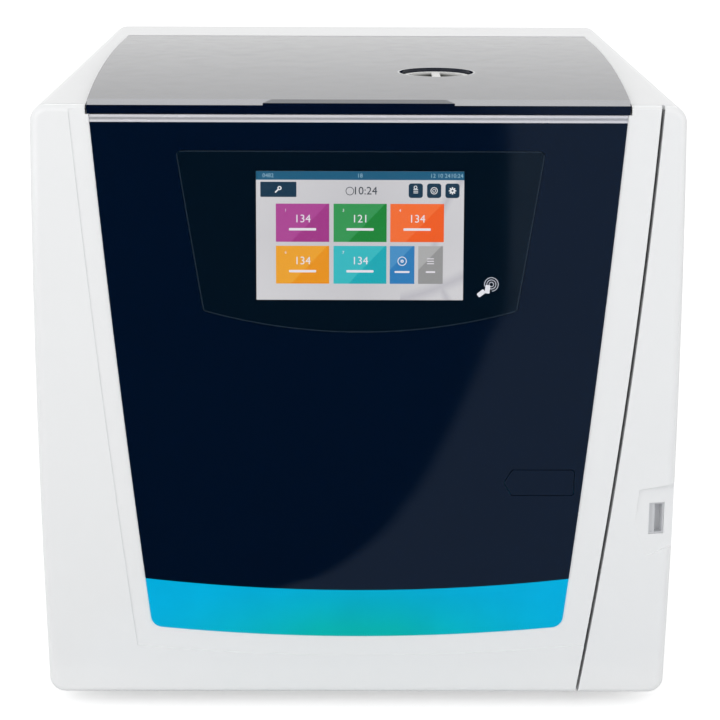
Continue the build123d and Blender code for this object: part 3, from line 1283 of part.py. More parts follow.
def lock_slider():
    """The carriage: a bar with two upright bolts and the nut on the screw."""
    bar = block(BOLT_X - 6, BOLT_X + 6, BOLT_Y + 10, BOLT_Y + 16, 122, 300)
    slider = bar
    for z in TONGUE_LEVELS:
        top = z - TONGUE_THICK / 2 - 1
        arm = block(BOLT_X - 6, BOLT_X + 6, BOLT_Y - 6, BOLT_Y + 11, top - 27, top - 16)
        slider = slider + arm + rod_z(BOLT_X, BOLT_Y, BOLT_R, top - 17, top)
    nut = block(BOLT_X - 8, BOLT_X + 8, BOLT_Y + 15, SCREW_Y + 9, 200, 214)
    slider = slider + nut
    return slider - rod_z(BOLT_X, SCREW_Y, SCREW_R + RUN_FIT, 190, 220)


def lock_screw():
    screw = rod_z(BOLT_X, SCREW_Y, SCREW_R, SCREW_LOW_Z + SEAT_GAP, SCREW_HIGH_Z)
    return screw


def lock_guide():
    """The channel that guides the carriage and holds the screw's ends."""
    y0 = BULKHEAD_BACK_Y
    y1 = SCREW_Y + 10
    pieces = []
    for side in (-1, 1):
        near = BOLT_X + side * 8.4
        out = BOLT_X + side * 11.4
        lo, hi = min(near, out), max(near, out)
        pieces.append(block(lo, hi, y0, y1, SCREW_LOW_Z, SCREW_HIGH_Z))
    for z in (SCREW_LOW_Z, SCREW_HIGH_Z - 5):
        pieces.append(block(BOLT_X - 11, BOLT_X + 11, y0, y1, z, z + 5))
    guide = joined(pieces)
    guide = guide - rod_z(BOLT_X, SCREW_Y, SCREW_R + RUN_FIT, SCREW_LOW_Z - 1, SCREW_HIGH_Z + 1)
    for z in TONGUE_LEVELS:
        guide = guide - block(BOLT_X - 13, BOLT_X + 15, y0 - 1, TONGUE_BACK_Y + 2, z - 5, z + 5)
    return guide


def lock_motor():
    gearbox = block(BOLT_X - 13, BOLT_X + 13, SCREW_Y - 16, SCREW_Y + 14, 92, SCREW_LOW_Z)
    return gearbox + rod_z(BOLT_X, SCREW_Y, 12, 56, 93)


NODES = {
    "door_frame": door_frame,
    "door_panel": door_panel,
    "light_strip": light_strip,
    "light_strip_board": light_strip_board,
    "chrome_trim": chrome_trim,
    "screen_glass": screen_glass,
    "screen_module": screen_module,
    "door_liner": door_liner,
    "door_carrier": door_carrier,
    "lock_keepers": lock_keepers,
    "pressure_disc": pressure_disc,
    "release_pad": release_pad,
    "pad_switch": pad_switch,
    "housing_cover": housing_cover,
    "front_cheek": cheek,
    "data_port": data_port,
    "tank_lid": tank_lid,
    "lid_hinge_rod": lid_rod,
    "clean_water_tank": clean_water_tank,
    "used_water_tank": used_water_tank,
    "filler_neck": filler_neck,
    "filler_cap": filler_cap,
    "cap_seal_ring": cap_seal,
    "base_tray": base_tray,
    "rubber_feet": rubber_feet,
    "front_bulkhead": front_bulkhead,
    "chamber_vessel": chamber_vessel,
    "chamber_flange": chamber_flange,
    "door_gasket": door_gasket,
    "heater_bands": heater_bands,
    "chamber_jacket": chamber_jacket,
    "chamber_saddles": chamber_saddles,
    "tray_rack": tray_rack,
    "steam_generator": steam_generator,
    "vacuum_pump": vacuum_pump,
    "valve_block": valve_block,
    "condenser": condenser,
    "fan_housing": fan_housing,
    "fan_rotor": fan_rotor,
    "rear_panel": rear_panel,
    "rear_panel_screws": panel_screws,
    "mains_inlet": mains_inlet,
    "power_switch": power_switch,
    "drain_spigot": drain_spigot,
    "safety_valve": safety_valve,
    "safety_valve_cap": safety_valve_cap,
    "main_board": main_board,
    "pipework": pipework,
    "filter_socket": filter_socket,
    "bacteria_filter": bacteria_filter,
    "drain_couplings": drain_couplings,
    "hinge_brackets": hinge_brackets,
    "hinge_pins": hinge_pins,
    "lock_slider": lock_slider,
    "lock_screw": lock_screw,
    "lock_guide": lock_guide,
    "lock_motor": lock_motor,
}

os.makedirs("parts", exist_ok=True)
for name, make in NODES.items():
    export_step(make(), os.path.join("parts", name + ".step"))
for number, level in enumerate(RACK_LEVELS, start=1):
    export_step(tray(level), os.path.join("parts", "tray_%d.step" % number))
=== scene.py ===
import json
import math

import bpy
from mathutils import Matrix, Vector


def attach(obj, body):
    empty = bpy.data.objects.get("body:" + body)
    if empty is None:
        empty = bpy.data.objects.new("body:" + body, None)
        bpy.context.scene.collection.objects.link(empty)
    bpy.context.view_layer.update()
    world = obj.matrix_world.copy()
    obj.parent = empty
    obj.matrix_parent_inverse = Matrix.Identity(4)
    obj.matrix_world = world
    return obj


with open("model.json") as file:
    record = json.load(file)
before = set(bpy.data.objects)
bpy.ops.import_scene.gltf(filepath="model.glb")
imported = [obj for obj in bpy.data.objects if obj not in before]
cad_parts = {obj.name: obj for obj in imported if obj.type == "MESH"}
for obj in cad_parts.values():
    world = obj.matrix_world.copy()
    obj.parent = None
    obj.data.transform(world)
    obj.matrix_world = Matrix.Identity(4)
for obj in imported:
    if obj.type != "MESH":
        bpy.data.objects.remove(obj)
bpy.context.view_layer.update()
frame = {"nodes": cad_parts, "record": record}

NODES = frame["nodes"]


# Camera and lamps: the lens in millimetres, places in metres, turns in degrees

SENSOR_WIDE = 36.0
LENS = 103.6
CAMERA_PLACE = (-0.0072, -1.7857, 0.6781)
CAMERA_YAW = -0.335
CAMERA_DOWN = 14.76
CAMERA_ROLL = 0.216


def add_camera():
    """The photograph's viewpoint: in front, above, a little left of the middle."""
    data = bpy.data.cameras.new("camera")
    camera = bpy.data.objects.new("camera", data)
    bpy.context.scene.collection.objects.link(camera)
    data.sensor_width = SENSOR_WIDE
    data.lens = LENS
    data.clip_start = 0.05
    data.clip_end = 30.0
    yaw = Matrix.Rotation(math.radians(CAMERA_YAW), 4, "Z")
    pitch = Matrix.Rotation(math.radians(90 - CAMERA_DOWN), 4, "X")
    roll = Matrix.Rotation(math.radians(CAMERA_ROLL), 4, "Z")
    camera.matrix_world = Matrix.Translation(CAMERA_PLACE) @ yaw @ pitch @ roll
    bpy.context.scene.camera = camera


def add_lamp(name, place, aim, wide, power):
    """A square lamp, its power in watts."""
    data = bpy.data.lights.new(name, "AREA")
    data.size = wide
    data.energy = power
    lamp = bpy.data.objects.new(name, data)
    bpy.context.scene.collection.objects.link(lamp)
    lamp.location = place
    lamp.rotation_euler = (Vector(aim) - Vector(place)).to_track_quat("-Z", "Y").to_euler()


# Shader maths, with the sockets of a mix node that mixes colours and the usual reach of noise

MIX_SHARE, MIX_FIRST, MIX_SECOND = 0, 6, 7
MIX_RESULT = 2
NOISE_LOW, NOISE_HIGH = 0.3, 0.7


class Sum:
    """A socket in a material, on which sums are written as on paper."""

    def __init__(self, paint, socket):
        self.paint = paint
        self.socket = socket

    def _math(self, operation, *values):
        return self.paint.node("ShaderNodeMath", {"operation": operation}, *values)

    def __add__(self, other):
        return self._math("ADD", self, other)

    def __radd__(self, other):
        return self._math("ADD", other, self)

    def __sub__(self, other):
        return self._math("SUBTRACT", self, other)

    def __rsub__(self, other):
        return self._math("SUBTRACT", other, self)

    def __mul__(self, other):
        return self._math("MULTIPLY", self, other)

    def __rtruediv__(self, other):
        return self._math("DIVIDE", other, self)

    def above(self, other):
        return self._math("GREATER_THAN", self, other)

    def below(self, other):
        return self._math("LESS_THAN", self, other)

    def size(self):
        return self._math("ABSOLUTE", self)

    def reach(self, other):
        """The length of the slant whose two sides these are."""
        return self._math("SQRT", self * self + other * other)

    def least(self, other):
        return self._math("MINIMUM", self, other)

    def most(self, other):
        return self._math("MAXIMUM", self, other)

    def wrapped(self, span):
        return self._math("PINGPONG", self, span)


class Paint:
    """One material under way: a principled shader and the nodes that feed it."""

    def __init__(self, name):
        self.material = bpy.data.materials.new(name)
        self.material.use_nodes = True
        self.tree = self.material.node_tree
        self.shader = self.tree.nodes["Principled BSDF"]

    def node(self, kind, settings, *values, named=None, out=0):
        """A node of one kind, its settings made first, then its sockets in order or by name."""
        made = self.tree.nodes.new(kind)
        for key, value in settings.items():
            setattr(made, key, value)
        for index, value in enumerate(values):
            self.feed(made.inputs[index], value)
        for key, value in (named or {}).items():
            self.feed(made.inputs[key], value)
        return Sum(self, made.outputs[out])

    def feed(self, socket, value):
        if isinstance(value, Sum):
            self.tree.links.new(value.socket, socket)
        else:
            socket.default_value = value

    def set(self, **values):
        """Shader sockets by name, with underscores for the spaces."""
        for key, value in values.items():
            socket = self.shader.inputs[key.replace("_", " ")]
            if isinstance(value, tuple) and len(value) == 3 and socket.type == "RGBA":
                value = (*value, 1.0)
            self.feed(socket, value)
        return self

    def place(self):
        return self.node("ShaderNodeTexCoord", {}, out="Object")

    def axes(self):
        """The three object coordinates, each as a sum."""
        split = self.tree.nodes.new("ShaderNodeSeparateXYZ")
        self.tree.links.new(self.place().socket, split.inputs[0])
        return [Sum(self, split.outputs[axis]) for axis in range(3)]

    def grain(self, scale, detail=2.0, rough=0.5, stretch=None):
        """Noise of a size in turns a metre, drawn out along the axes where asked."""
        where = self.place()
        if stretch:
            where = self.node("ShaderNodeMapping", {}, where, named={"Scale": stretch})
        named = {"Vector": where, "Scale": scale, "Detail": detail, "Roughness": rough}
        return self.node("ShaderNodeTexNoise", {}, named=named)

    def cells(self, scale):
        return self.node("ShaderNodeTexVoronoi", {}, named={"Vector": self.place(), "Scale": scale})

    def band(self, value, low, high, start=0.0, end=1.0):
        """A value spread from one range to another, held at the ends."""
        return self.node("ShaderNodeMapRange", {"clamp": True}, value, low, high, start, end)

    def uneven(self, noise, low, high):
        """A value that wanders with the noise between two ends."""
        return self.band(noise, NOISE_LOW, NOISE_HIGH, low, high)

    def blend(self, share, first, second):
        """Two colours mixed by a share."""
        made = self.tree.nodes.new("ShaderNodeMix")
        made.data_type = "RGBA"
        self.feed(made.inputs[MIX_SHARE], share)
        for socket, colour in ((made.inputs[MIX_FIRST], first), (made.inputs[MIX_SECOND], second)):
            self.feed(socket, colour if isinstance(colour, Sum) else (*colour, 1.0))
        return Sum(self, made.outputs[MIX_RESULT])

    def scaled(self, colour, factor):
        """A colour made stronger or weaker."""
        return self.node("ShaderNodeVectorMath", {"operation": "SCALE"}, colour, named={"Scale": factor})

    def relief(self, height, strength, distance):
        named = {"Height": height, "Strength": strength, "Distance": distance}
        self.set(Normal=self.node("ShaderNodeBump", {}, named=named))


# Places on the object, in metres

FRONT_RADIUS = 1.493
FRONT_Y = -0.300
MIDDLE_Z = 0.2425

CAP_X, CAP_Y, CAP_TOP = 0.063, -0.116, 0.475
POCKET_EDGE, POCKET_DEEP = 0.0006, 0.0022
HOLE_EDGE = 0.0306
# half the width of the painted highlight ring round the cap's hole
RIM_HIGHLIGHT_HALF = 0.0006
LID_SKIN_Z = 0.4700

# height and widths of the painted shade line along the trim's groove
TRIM_SHADE_Z = 0.4637
TRIM_SHADE_CORE, TRIM_SHADE_FADE = 0.0004, 0.0011

STRIP_LOW, STRIP_HIGH = 0.068, 0.104
STRIP_DROOP = 0.05
STRIP_MIDDLE, STRIP_END = 0.03, 0.18

SCREEN_X, SCREEN_Z = 0.0010, 0.3787
SCREEN_WIDE, SCREEN_TALL = 0.1527, 0.0948
SCREEN_DEPTH = 0.0031
WINDOW_X = 0.0009
WINDOW_HALF_WIDE, WINDOW_HALF_TALL = 0.0766, 0.0477

GLASS_X = 0.0015
GLASS_TOP = 0.4407
GLASS_FOOT_Z, GLASS_FOOT_HALF, GLASS_SLANT = 0.3234, 0.1158, 0.1637
GLASS_BOW_Z, GLASS_BOW_RADIUS = 0.73445, 0.42705
# width of the painted highlight along the glass's edge
GLASS_HIGHLIGHT_WIDTH = 0.0008

SIGN_X, SIGN_Z, SIGN_DEPTH = 0.0968, 0.3422, -0.00042


# Finishes

def linear(red, green, blue):
    """A colour given as on a colour chart, from 0 to 255, turned into light by the usual screen curve."""
    values = []
    for channel in (red, green, blue):
        share = channel / 255
        values.append(share / 12.92 if share <= 0.04045 else ((share + 0.055) / 1.055) ** 2.4)
    return tuple(values)


def shade(colour, factor):
    return tuple(min(1.0, channel * factor) for channel in colour)


def moulded(name, colour, rough, coat=0.0, grain=900.0, depth=0.00002):
    """Injection moulded plastic: a fine skin, faint mottling and uneven gloss."""
    paint = Paint(name)
    mottle = paint.grain(14.0, detail=3.0)
    skin = paint.grain(grain, detail=3.0, rough=0.6)
    haze = paint.grain(40.0, detail=4.0)
    paint.set(Base_Color=paint.blend(mottle, shade(colour, 0.993), shade(colour, 1.006)))
    paint.set(Roughness=paint.uneven(haze, rough * 0.93, rough * 1.07))
    paint.set(Coat_Weight=coat, Coat_Roughness=0.08)
    paint.relief(skin, 0.35, depth)
    return paint


def plated(name, colour, rough, stretch=(1.0, 1.0, 1.0), metal=1.0):
    """Sheet or drawn metal with its rolling grain along one way."""
    paint = Paint(name)
    grain = paint.grain(220.0, detail=4.0, rough=0.7, stretch=stretch)
    cloud = paint.grain(9.0, detail=3.0)
    paint.set(Base_Color=paint.blend(cloud, shade(colour, 0.92), shade(colour, 1.05)))
    paint.set(Roughness=paint.uneven(grain, rough * 0.75, rough * 1.25), Metallic=metal)
    paint.relief(grain, 0.2, 0.00005)
    return paint


def navy(name, rough):
    """The dark blue gloss plastic of the panel, the pad and the tank lid."""
    paint = Paint(name)
    wave = paint.grain(6.0)
    haze = paint.grain(55.0, detail=5.0, rough=0.6)
    paint.set(Base_Color=paint.blend(wave, (0.0002, 0.0044, 0.0165), (0.0003, 0.0050, 0.0185)))
    paint.set(Roughness=paint.band(haze, 0.3, 0.75, rough * 0.9, rough * 1.2), IOR=1.5)
    paint.relief(paint.grain(18.0), 0.04, 0.0003)
    return paint


def chrome():
    """Bright plated trim with painted shade: a darker line along its middle, where its groove runs."""
    paint = plated("bright_chrome", (0.86, 0.85, 0.87), 0.25, stretch=(0.05, 1.0, 1.0), metal=0.3)
    z = paint.axes()[2]
    # painted shade: the trim's colour darkens along the groove at this height
    line = paint.band((z - TRIM_SHADE_Z).size(), TRIM_SHADE_CORE, TRIM_SHADE_FADE, 1.0, 0.0)
    paint.set(Base_Color=paint.blend(line, (0.84, 0.83, 0.87), (0.52, 0.52, 0.55)))
    return paint


def lid_gloss():
    """The tank lid's gloss, with a painted highlight round the hole for the filler cap: a pale ring on the
    lid's top.
    """
    paint = navy("navy_lid", 0.13)
    x, y, z = paint.axes()
    away = (x - CAP_X).reach(y - CAP_Y)
    # painted highlight: a thin pale ring on the lid's top along the edge of the cap's hole
    painted_rim_highlight = (away - HOLE_EDGE).size().below(RIM_HIGHLIGHT_HALF) * z.above(LID_SKIN_Z)
    paint.set(Base_Color=paint.blend(painted_rim_highlight, (0.0003, 0.0037, 0.0175), (0.42, 0.44, 0.45)))
    return paint


def cap_white_painted_pocket_shade():
    """White plastic with painted shade in its two finger pockets, darkest towards the bar between them."""
    paint = Paint("filler_cap")
    x, _, z = paint.axes()
    # painted shade: below the cap's top the pocket walls are darkened, most near the middle bar
    deep = paint.band(z, CAP_TOP - POCKET_DEEP, CAP_TOP - POCKET_EDGE, 1.0, 0.0)
    dark = paint.band((x - CAP_X).size(), 0.004, 0.022, 1.0, 0.35) * deep
    clean = paint.blend(paint.grain(30.0, detail=3.0), (0.84, 0.84, 0.82), (0.87, 0.87, 0.86))
    paint.set(Base_Color=paint.blend(dark, clean, (0.10, 0.105, 0.095)), Roughness=0.42)
    paint.relief(paint.grain(900.0, detail=3.0, rough=0.6), 0.3, 0.00002)
    return paint


def light_window():
    """The lit strip: a cyan diffuser, bluer at its ends and greener below."""
    paint = Paint("light_strip")
    x, _, z = paint.axes()
    side = paint.band(x.size(), STRIP_MIDDLE, STRIP_END)
    down = paint.band(z + x.size() * STRIP_DROOP, STRIP_LOW, STRIP_HIGH)
    middle = paint.blend(down, linear(3, 174, 170), linear(0, 168, 205))
    glow = paint.blend(side, middle, linear(0, 172, 222))
    cloud = paint.uneven(paint.grain(30.0, detail=3.0), 0.98, 1.06)
    paint.set(Base_Color=(0.0, 0.012, 0.016), Roughness=0.3, IOR=1.4, Specular_IOR_Level=0.15)
    paint.set(Emission_Color=paint.scaled(glow, cloud), Emission_Strength=0.97)
    paint.relief(paint.grain(400.0), 0.1, 0.00003)
    return paint


def front_glass():
    """Dark printed glass with a painted highlight, a paler line along its edge; clear only in front of the
    display.
    """
    paint = Paint("front_glass")
    x, _, z = paint.axes()
    wide = (x - WINDOW_X).size().below(WINDOW_HALF_WIDE)
    tall = (z - SCREEN_Z).size().below(WINDOW_HALF_TALL)
    across = x - GLASS_X
    from_side = GLASS_FOOT_HALF + (z - GLASS_FOOT_Z) * GLASS_SLANT - across.size()
    from_bow = GLASS_BOW_RADIUS - across.reach(z - GLASS_BOW_Z)
    # painted highlight: the glass is paler within a thin band along its outline
    painted_edge_highlight = from_side.least(GLASS_TOP - z).least(from_bow).below(GLASS_HIGHLIGHT_WIDTH)
    smear = paint.grain(25.0, detail=4.0)
    paint.set(Base_Color=paint.blend(painted_edge_highlight, (0.0008, 0.0056, 0.0130), (0.016, 0.027, 0.042)))
    paint.set(Roughness=paint.uneven(smear, 0.03, 0.06))
    paint.set(Alpha=1.0 - wide * tall * 0.93, IOR=1.5)
    paint.relief(paint.grain(12.0, detail=1.0), 0.03, 0.0003)
    return paint


def circuit():
    """A printed board: green mask over copper tracks and pads."""
    paint = Paint("board_green")
    pitch, bend = 330.0, 1.2
    x, y, z = paint.axes()
    rows = (z * pitch + paint.grain(30.0, detail=0.0) * bend).wrapped(1.0).above(0.78)
    lines = (y * pitch + paint.grain(24.0, detail=0.0) * bend + x * pitch).wrapped(1.0).above(0.82)
    track = rows.most(lines) * paint.cells(60.0).above(0.22)
    paint.set(Base_Color=paint.blend(track, (0.008, 0.10, 0.04), (0.03, 0.22, 0.09)), Roughness=0.32)
    paint.relief(track, 0.3, 0.00004)
    return paint


def felt():
    """Pressed fibre insulation."""
    paint = Paint("insulation_felt")
    fibre = paint.grain(420.0, detail=5.0, rough=0.75)
    paint.set(Base_Color=paint.blend(fibre, (0.38, 0.37, 0.33), (0.62, 0.61, 0.56)), Roughness=0.95)
    paint.relief(fibre, 0.8, 0.0006)
    return paint


SHELL_WHITE = (0.88, 0.888, 0.895)
SHEET_GREY = (0.66, 0.66, 0.66)
RUBBER_BLACK = (0.022, 0.022, 0.024)
BRIGHT_STEEL = (0.72, 0.72, 0.73)

FINISHES = {
    "white_shell": lambda: moulded("white_shell", SHELL_WHITE, 0.30, coat=0.25, grain=700.0, depth=0.00001),
    "navy_gloss": lambda: navy("navy_gloss", 0.05),
    "lid_gloss": lid_gloss,
    "cyan_light": light_window,
    "bright_chrome": chrome,
    "dark_glass": front_glass,
    "black_plastic": lambda: moulded("black_plastic", (0.02, 0.02, 0.022), 0.5),
    "grey_plastic": lambda: moulded("grey_plastic", (0.62, 0.63, 0.65), 0.45),
    "white_plastic": lambda: moulded("white_plastic", (0.80, 0.80, 0.80), 0.42),
    "steel_bright": lambda: plated("steel_bright", BRIGHT_STEEL, 0.36, stretch=(1.0, 0.04, 1.0), metal=0.72),
    "steel_plate": lambda: plated("steel_plate", (0.56, 0.57, 0.59), 0.42, metal=0.75),
    "rear_sheet": lambda: moulded("rear_sheet", SHEET_GREY, 0.55, grain=1600.0, depth=0.00006),
    "aluminium_fin": lambda: plated("aluminium_fin", (0.72, 0.73, 0.74), 0.35, stretch=(1.0, 1.0, 0.1)),
    "brass_fitting": lambda: plated("brass_fitting", (0.62, 0.44, 0.18), 0.28),
    "seal_rubber": lambda: moulded("seal_rubber", RUBBER_BLACK, 0.7, grain=1300.0, depth=0.00008),
    "insulation_felt": felt,
    "board_green": circuit,
    "display_picture": lambda: moulded("display_frame", (0.012, 0.012, 0.014), 0.4),
}


def finish_nodes():
    """Every CAD piece gets the finish of its slot in the record, and the filler cap one of its own, with
    painted shade in its pockets.
    """
    made = {}
    for part in frame["record"]["subparts"]:
        slot = part["material_slot"]
        if slot not in made:
            made[slot] = FINISHES[slot]().material
        thing = NODES[part["node"]]
        thing.data.materials.clear()
        thing.data.materials.append(made[slot])
    NODES["filler_cap"].data.materials[0] = cap_white_painted_pocket_shade().material


# Thin plates and figures on a drawing board

def on_front(x, z, depth):
    """A drawing board under the front surface: its X to the right, its Y up, its Z outwards."""
    tilt = math.asin((z - MIDDLE_Z) / FRONT_RADIUS)
    surface = FRONT_Y + FRONT_RADIUS - math.sqrt(FRONT_RADIUS ** 2 - (z - MIDDLE_Z) ** 2)
    place = Vector((x, surface + depth * math.cos(tilt), z - depth * math.sin(tilt)))
    return Matrix.Translation(place) @ Matrix.Rotation(math.radians(90) - tilt, 4, "X")


def clear_choice():
    if bpy.context.object and bpy.context.object.mode == "EDIT":
        bpy.ops.object.mode_set(mode="OBJECT")
    bpy.ops.object.select_all(action="DESELECT")


def settle(piece, name, place, body, slot, *paints):
    """Names a piece, puts its place into its mesh and hangs it on its body."""
    bpy.ops.object.transform_apply(location=True, rotation=True, scale=True)
    piece.data.transform(place)
    piece.name = name
    piece.data.name = name
    for paint in paints:
        piece.data.materials.append(paint)
    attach(piece, body)


def thicken(thick):
    """The face under way drawn out backwards into a plate, with its normals outwards."""
    bpy.ops.mesh.select_all(action="SELECT")
    bpy.ops.mesh.extrude_region_move(TRANSFORM_OT_translate={"value": (0, 0, -thick)})
    bpy.ops.mesh.select_all(action="SELECT")
    bpy.ops.mesh.normals_make_consistent(inside=False)
    bpy.ops.object.mode_set(mode="OBJECT")


def card(x, y, wide, tall, corner, lift, thick):
    """A thin plate with round corners, its face at a height above the board."""
    clear_choice()
    bpy.ops.mesh.primitive_plane_add(size=1.0, location=(x, y, lift))
    plate = bpy.context.object
    plate.scale = (wide, tall, 1.0)
    bpy.ops.object.transform_apply(location=False, rotation=False, scale=True)
    bpy.ops.object.mode_set(mode="EDIT")
    if corner:
        bpy.ops.mesh.bevel(offset=corner, segments=5, affect="VERTICES")
    thicken(thick)
    return plate


def ring(x, y, outer, inner, lift, thick, sides=32):
    """A flat washer, its face at a height above the board."""
    clear_choice()
    bpy.ops.mesh.primitive_circle_add(radius=outer, vertices=sides, fill_type="NGON", location=(x, y, lift))
    washer = bpy.context.object
    bpy.ops.object.mode_set(mode="EDIT")
    bpy.ops.mesh.inset(thickness=(outer - inner) * math.cos(math.pi / sides))
    bpy.ops.mesh.delete(type="FACE")
    thicken(thick)
    return washer


def number(text, x, y, tall, lift, thick):
    """Plain figures, made a mesh."""
    clear_choice()
    bpy.ops.object.text_add(location=(x, y, lift))
    words = bpy.context.object
    words.data.body = text
    words.data.size = tall
    words.data.align_x = "CENTER"
    words.data.align_y = "CENTER"
    words.data.extrude = thick
    words.data.resolution_u = 3
    bpy.ops.object.convert(target="MESH")
    return bpy.context.object


def gathered(*parts):
    """Several meshes joined into the first."""
    clear_choice()
    for part in parts:
        part.select_set(True)
    bpy.context.view_layer.objects.active = parts[0]
    bpy.ops.object.transform_apply(location=True, rotation=True, scale=True)
    if len(parts) > 1:
        bpy.ops.object.join()
    return parts[0]


# The picture on the display, in layers of one film each above its ground

SCREEN_BOARD = on_front(SCREEN_X, SCREEN_Z, SCREEN_DEPTH)
FILM = 0.00008
BASE_LAYER, TILE_LAYER, INK_LAYER = FILM, 2 * FILM, 3 * FILM

BIG_FIGURES = 0.0082
HEADER_FIGURES = 0.0042
SMALL_FIGURES = 0.0030

TILE_CUT = 0.0012
TILE_SLANT = (0.72, -0.69, 0)


def lit(name, colour):
    """A lit patch of the display, with its fine rows of dots."""
    paint = Paint(name)
    pitch = 5200.0
    x, _, z = paint.axes()
    dots = paint.band((x * pitch).wrapped(1.0) * (z * pitch).wrapped(1.0), 0.0, 1.0, 0.97, 1.03)
    flat = paint.blend(paint.grain(20.0, detail=1.0), shade(colour, 0.98), shade(colour, 1.02))
    return backlit(paint, paint.scaled(flat, dots))


def backlit(paint, glow):
    """Black glass that shines with a colour."""
    paint.set(Base_Color=(0.01, 0.01, 0.01), Roughness=0.4, Emission_Color=glow, Emission_Strength=1.05)
    return paint.material


def backlight():
    """The display's pale ground: a soft vignette and two faint crossing sweeps."""
    paint = Paint("display_ground")
    x, _, z = paint.axes()
    across = x - SCREEN_X
    up = z - SCREEN_Z
    from_first = (across + 0.02).reach(up - 0.16) - 0.213
    from_second = (across - 0.13).reach(up + 0.01) - 0.075
    first = paint.band(from_first.size(), 0.0, 0.006, 1.0, 0.0) * across.above(0.03)
    second = paint.band(from_second.size(), 0.0, 0.004, 1.0, 0.0)
    edge = paint.band(across.size() + up.size() * 0.8, 0.03, 0.12)
    ground = paint.blend(edge, linear(203, 202, 206), linear(216, 215, 218))
    return backlit(paint, paint.blend(first.most(second) * 0.55, ground, linear(176, 174, 184)))


def screen_spot(u, v):
    """A place on the display from shares of its width and height, from the top left."""
    return (u - 0.5) * SCREEN_WIDE, (0.5 - v) * SCREEN_TALL


def screen_card(u0, v0, u1, v1, corner, lift):
    """A card on the display between two places given as shares."""
    x0, y0 = screen_spot(u0, v0)
    x1, y1 = screen_spot(u1, v1)
    return card((x0 + x1) / 2, (y0 + y1) / 2, x1 - x0, y0 - y1, corner, lift, FILM)


def bars(x, y, wide, tall, pitch):
    """Three bars one above the other, the lowest at the place given."""
    return [card(x, y + line * pitch, wide, tall, 0.0, INK_LAYER, FILM) for line in range(3)]


def tile(name, u0, v0, u1, v1, light, dark):
    """A menu tile, cut along a slant into a lighter and a darker half."""
    plate = screen_card(u0, v0, u1, v1, 0.0, TILE_LAYER)
    x1, y0 = screen_spot(u1, v0)
    cut = (x1 - TILE_CUT, y0, 0)
    bpy.ops.object.mode_set(mode="EDIT")
    bpy.ops.mesh.select_all(action="SELECT")
    bpy.ops.mesh.bisect(plane_co=cut, plane_no=TILE_SLANT, use_fill=False)
    bpy.ops.object.mode_set(mode="OBJECT")
    settle(plate, name, SCREEN_BOARD, "door", "display_picture", light, dark)
    corner = SCREEN_BOARD @ Vector(cut)
    way = (SCREEN_BOARD.to_3x3() @ Vector(TILE_SLANT)).normalized()
    for face in plate.data.polygons:
        face.material_index = 1 if (face.center - corner).dot(way) > 0 else 0


def build_header():
    """The dark bar along the top with its plain figures."""
    bar = screen_card(0.0, 0.0, 1.0, 0.066, 0.0, BASE_LAYER)
    settle(bar, "display_header", SCREEN_BOARD, "door", "display_picture",
           lit("display_header", linear(20, 92, 126)))
    figures = []
    for text, u in (("12 10 24", 0.885), ("10:24", 0.965), ("0482", 0.06), ("18", 0.50)):
        x, y = screen_spot(u, 0.034)
        figures.append(number(text, x, y, HEADER_FIGURES, TILE_LAYER, FILM / 2))
    settle(gathered(*figures), "display_header_figures", SCREEN_BOARD, "door", "display_picture",
           lit("display_header_ink", linear(150, 186, 204)))


def build_buttons():
    """Four buttons: a spanner on the wide one; a list, a dial and a toothed wheel on the small ones."""
    buttons = [screen_card(0.023, 0.0815, 0.196, 0.1986, 0.0006, TILE_LAYER)]
    for u in (0.734, 0.822, 0.910):
        buttons.append(screen_card(u, 0.092, u + 0.068, 0.204, 0.0020, TILE_LAYER))
    settle(gathered(*buttons), "display_buttons", SCREEN_BOARD, "door", "display_picture",
           lit("display_teal_dark", linear(4, 50, 74)))

    x, y = screen_spot(0.115, 0.130)
    icons = [ring(x, y, 0.0015, 0.0007, INK_LAYER, FILM, 20)]
    handle = card(0, 0, 0.0038, 0.0010, 0.0003, INK_LAYER, FILM)
    handle.rotation_euler.z = math.radians(45)
    handle.location = (x - 0.0019, y - 0.0019, INK_LAYER)
    icons.append(handle)
    x, y = screen_spot(0.768, 0.148)
    icons += bars(x, y - 0.0016, 0.0034, 0.0005, 0.0013)
    icons.append(ring(x - 0.0002, y + 0.0024, 0.0013, 0.0008, INK_LAYER, FILM, 20))
    x, y = screen_spot(0.856, 0.148)
    icons.append(ring(x, y, 0.0026, 0.0021, INK_LAYER, FILM))
    icons.append(ring(x, y, 0.0013, 0.0009, INK_LAYER, FILM, 20))
    x, y = screen_spot(0.944, 0.148)
    icons.append(ring(x, y, 0.0018, 0.0008, INK_LAYER, FILM, 24))
    teeth, pitch_radius = 8, 0.0021
    for tooth in range(teeth):
        angle = tooth * 2 * math.pi / teeth
        spot = card(0, 0, 0.0012, 0.0009, 0.0002, INK_LAYER, FILM)
        spot.rotation_euler.z = angle
        spot.location = (x + pitch_radius * math.cos(angle), y + pitch_radius * math.sin(angle), INK_LAYER)
        icons.append(spot)
    settle(gathered(*icons), "display_button_signs", SCREEN_BOARD, "door", "display_picture",
           lit("display_white", linear(240, 240, 242)))


def build_title():
    """A ring and a clock time, where the picture's title stands."""
    x, y = screen_spot(0.452, 0.152)
    mark = ring(x, y, 0.0031, 0.0026, TILE_LAYER, FILM)
    x, y = screen_spot(0.525, 0.152)
    clock = number("10:24", x, y, BIG_FIGURES, TILE_LAYER, FILM / 2)
    settle(gathered(mark, clock), "display_title", SCREEN_BOARD, "door", "display_picture",
           lit("display_dark_ink", linear(40, 48, 58)))


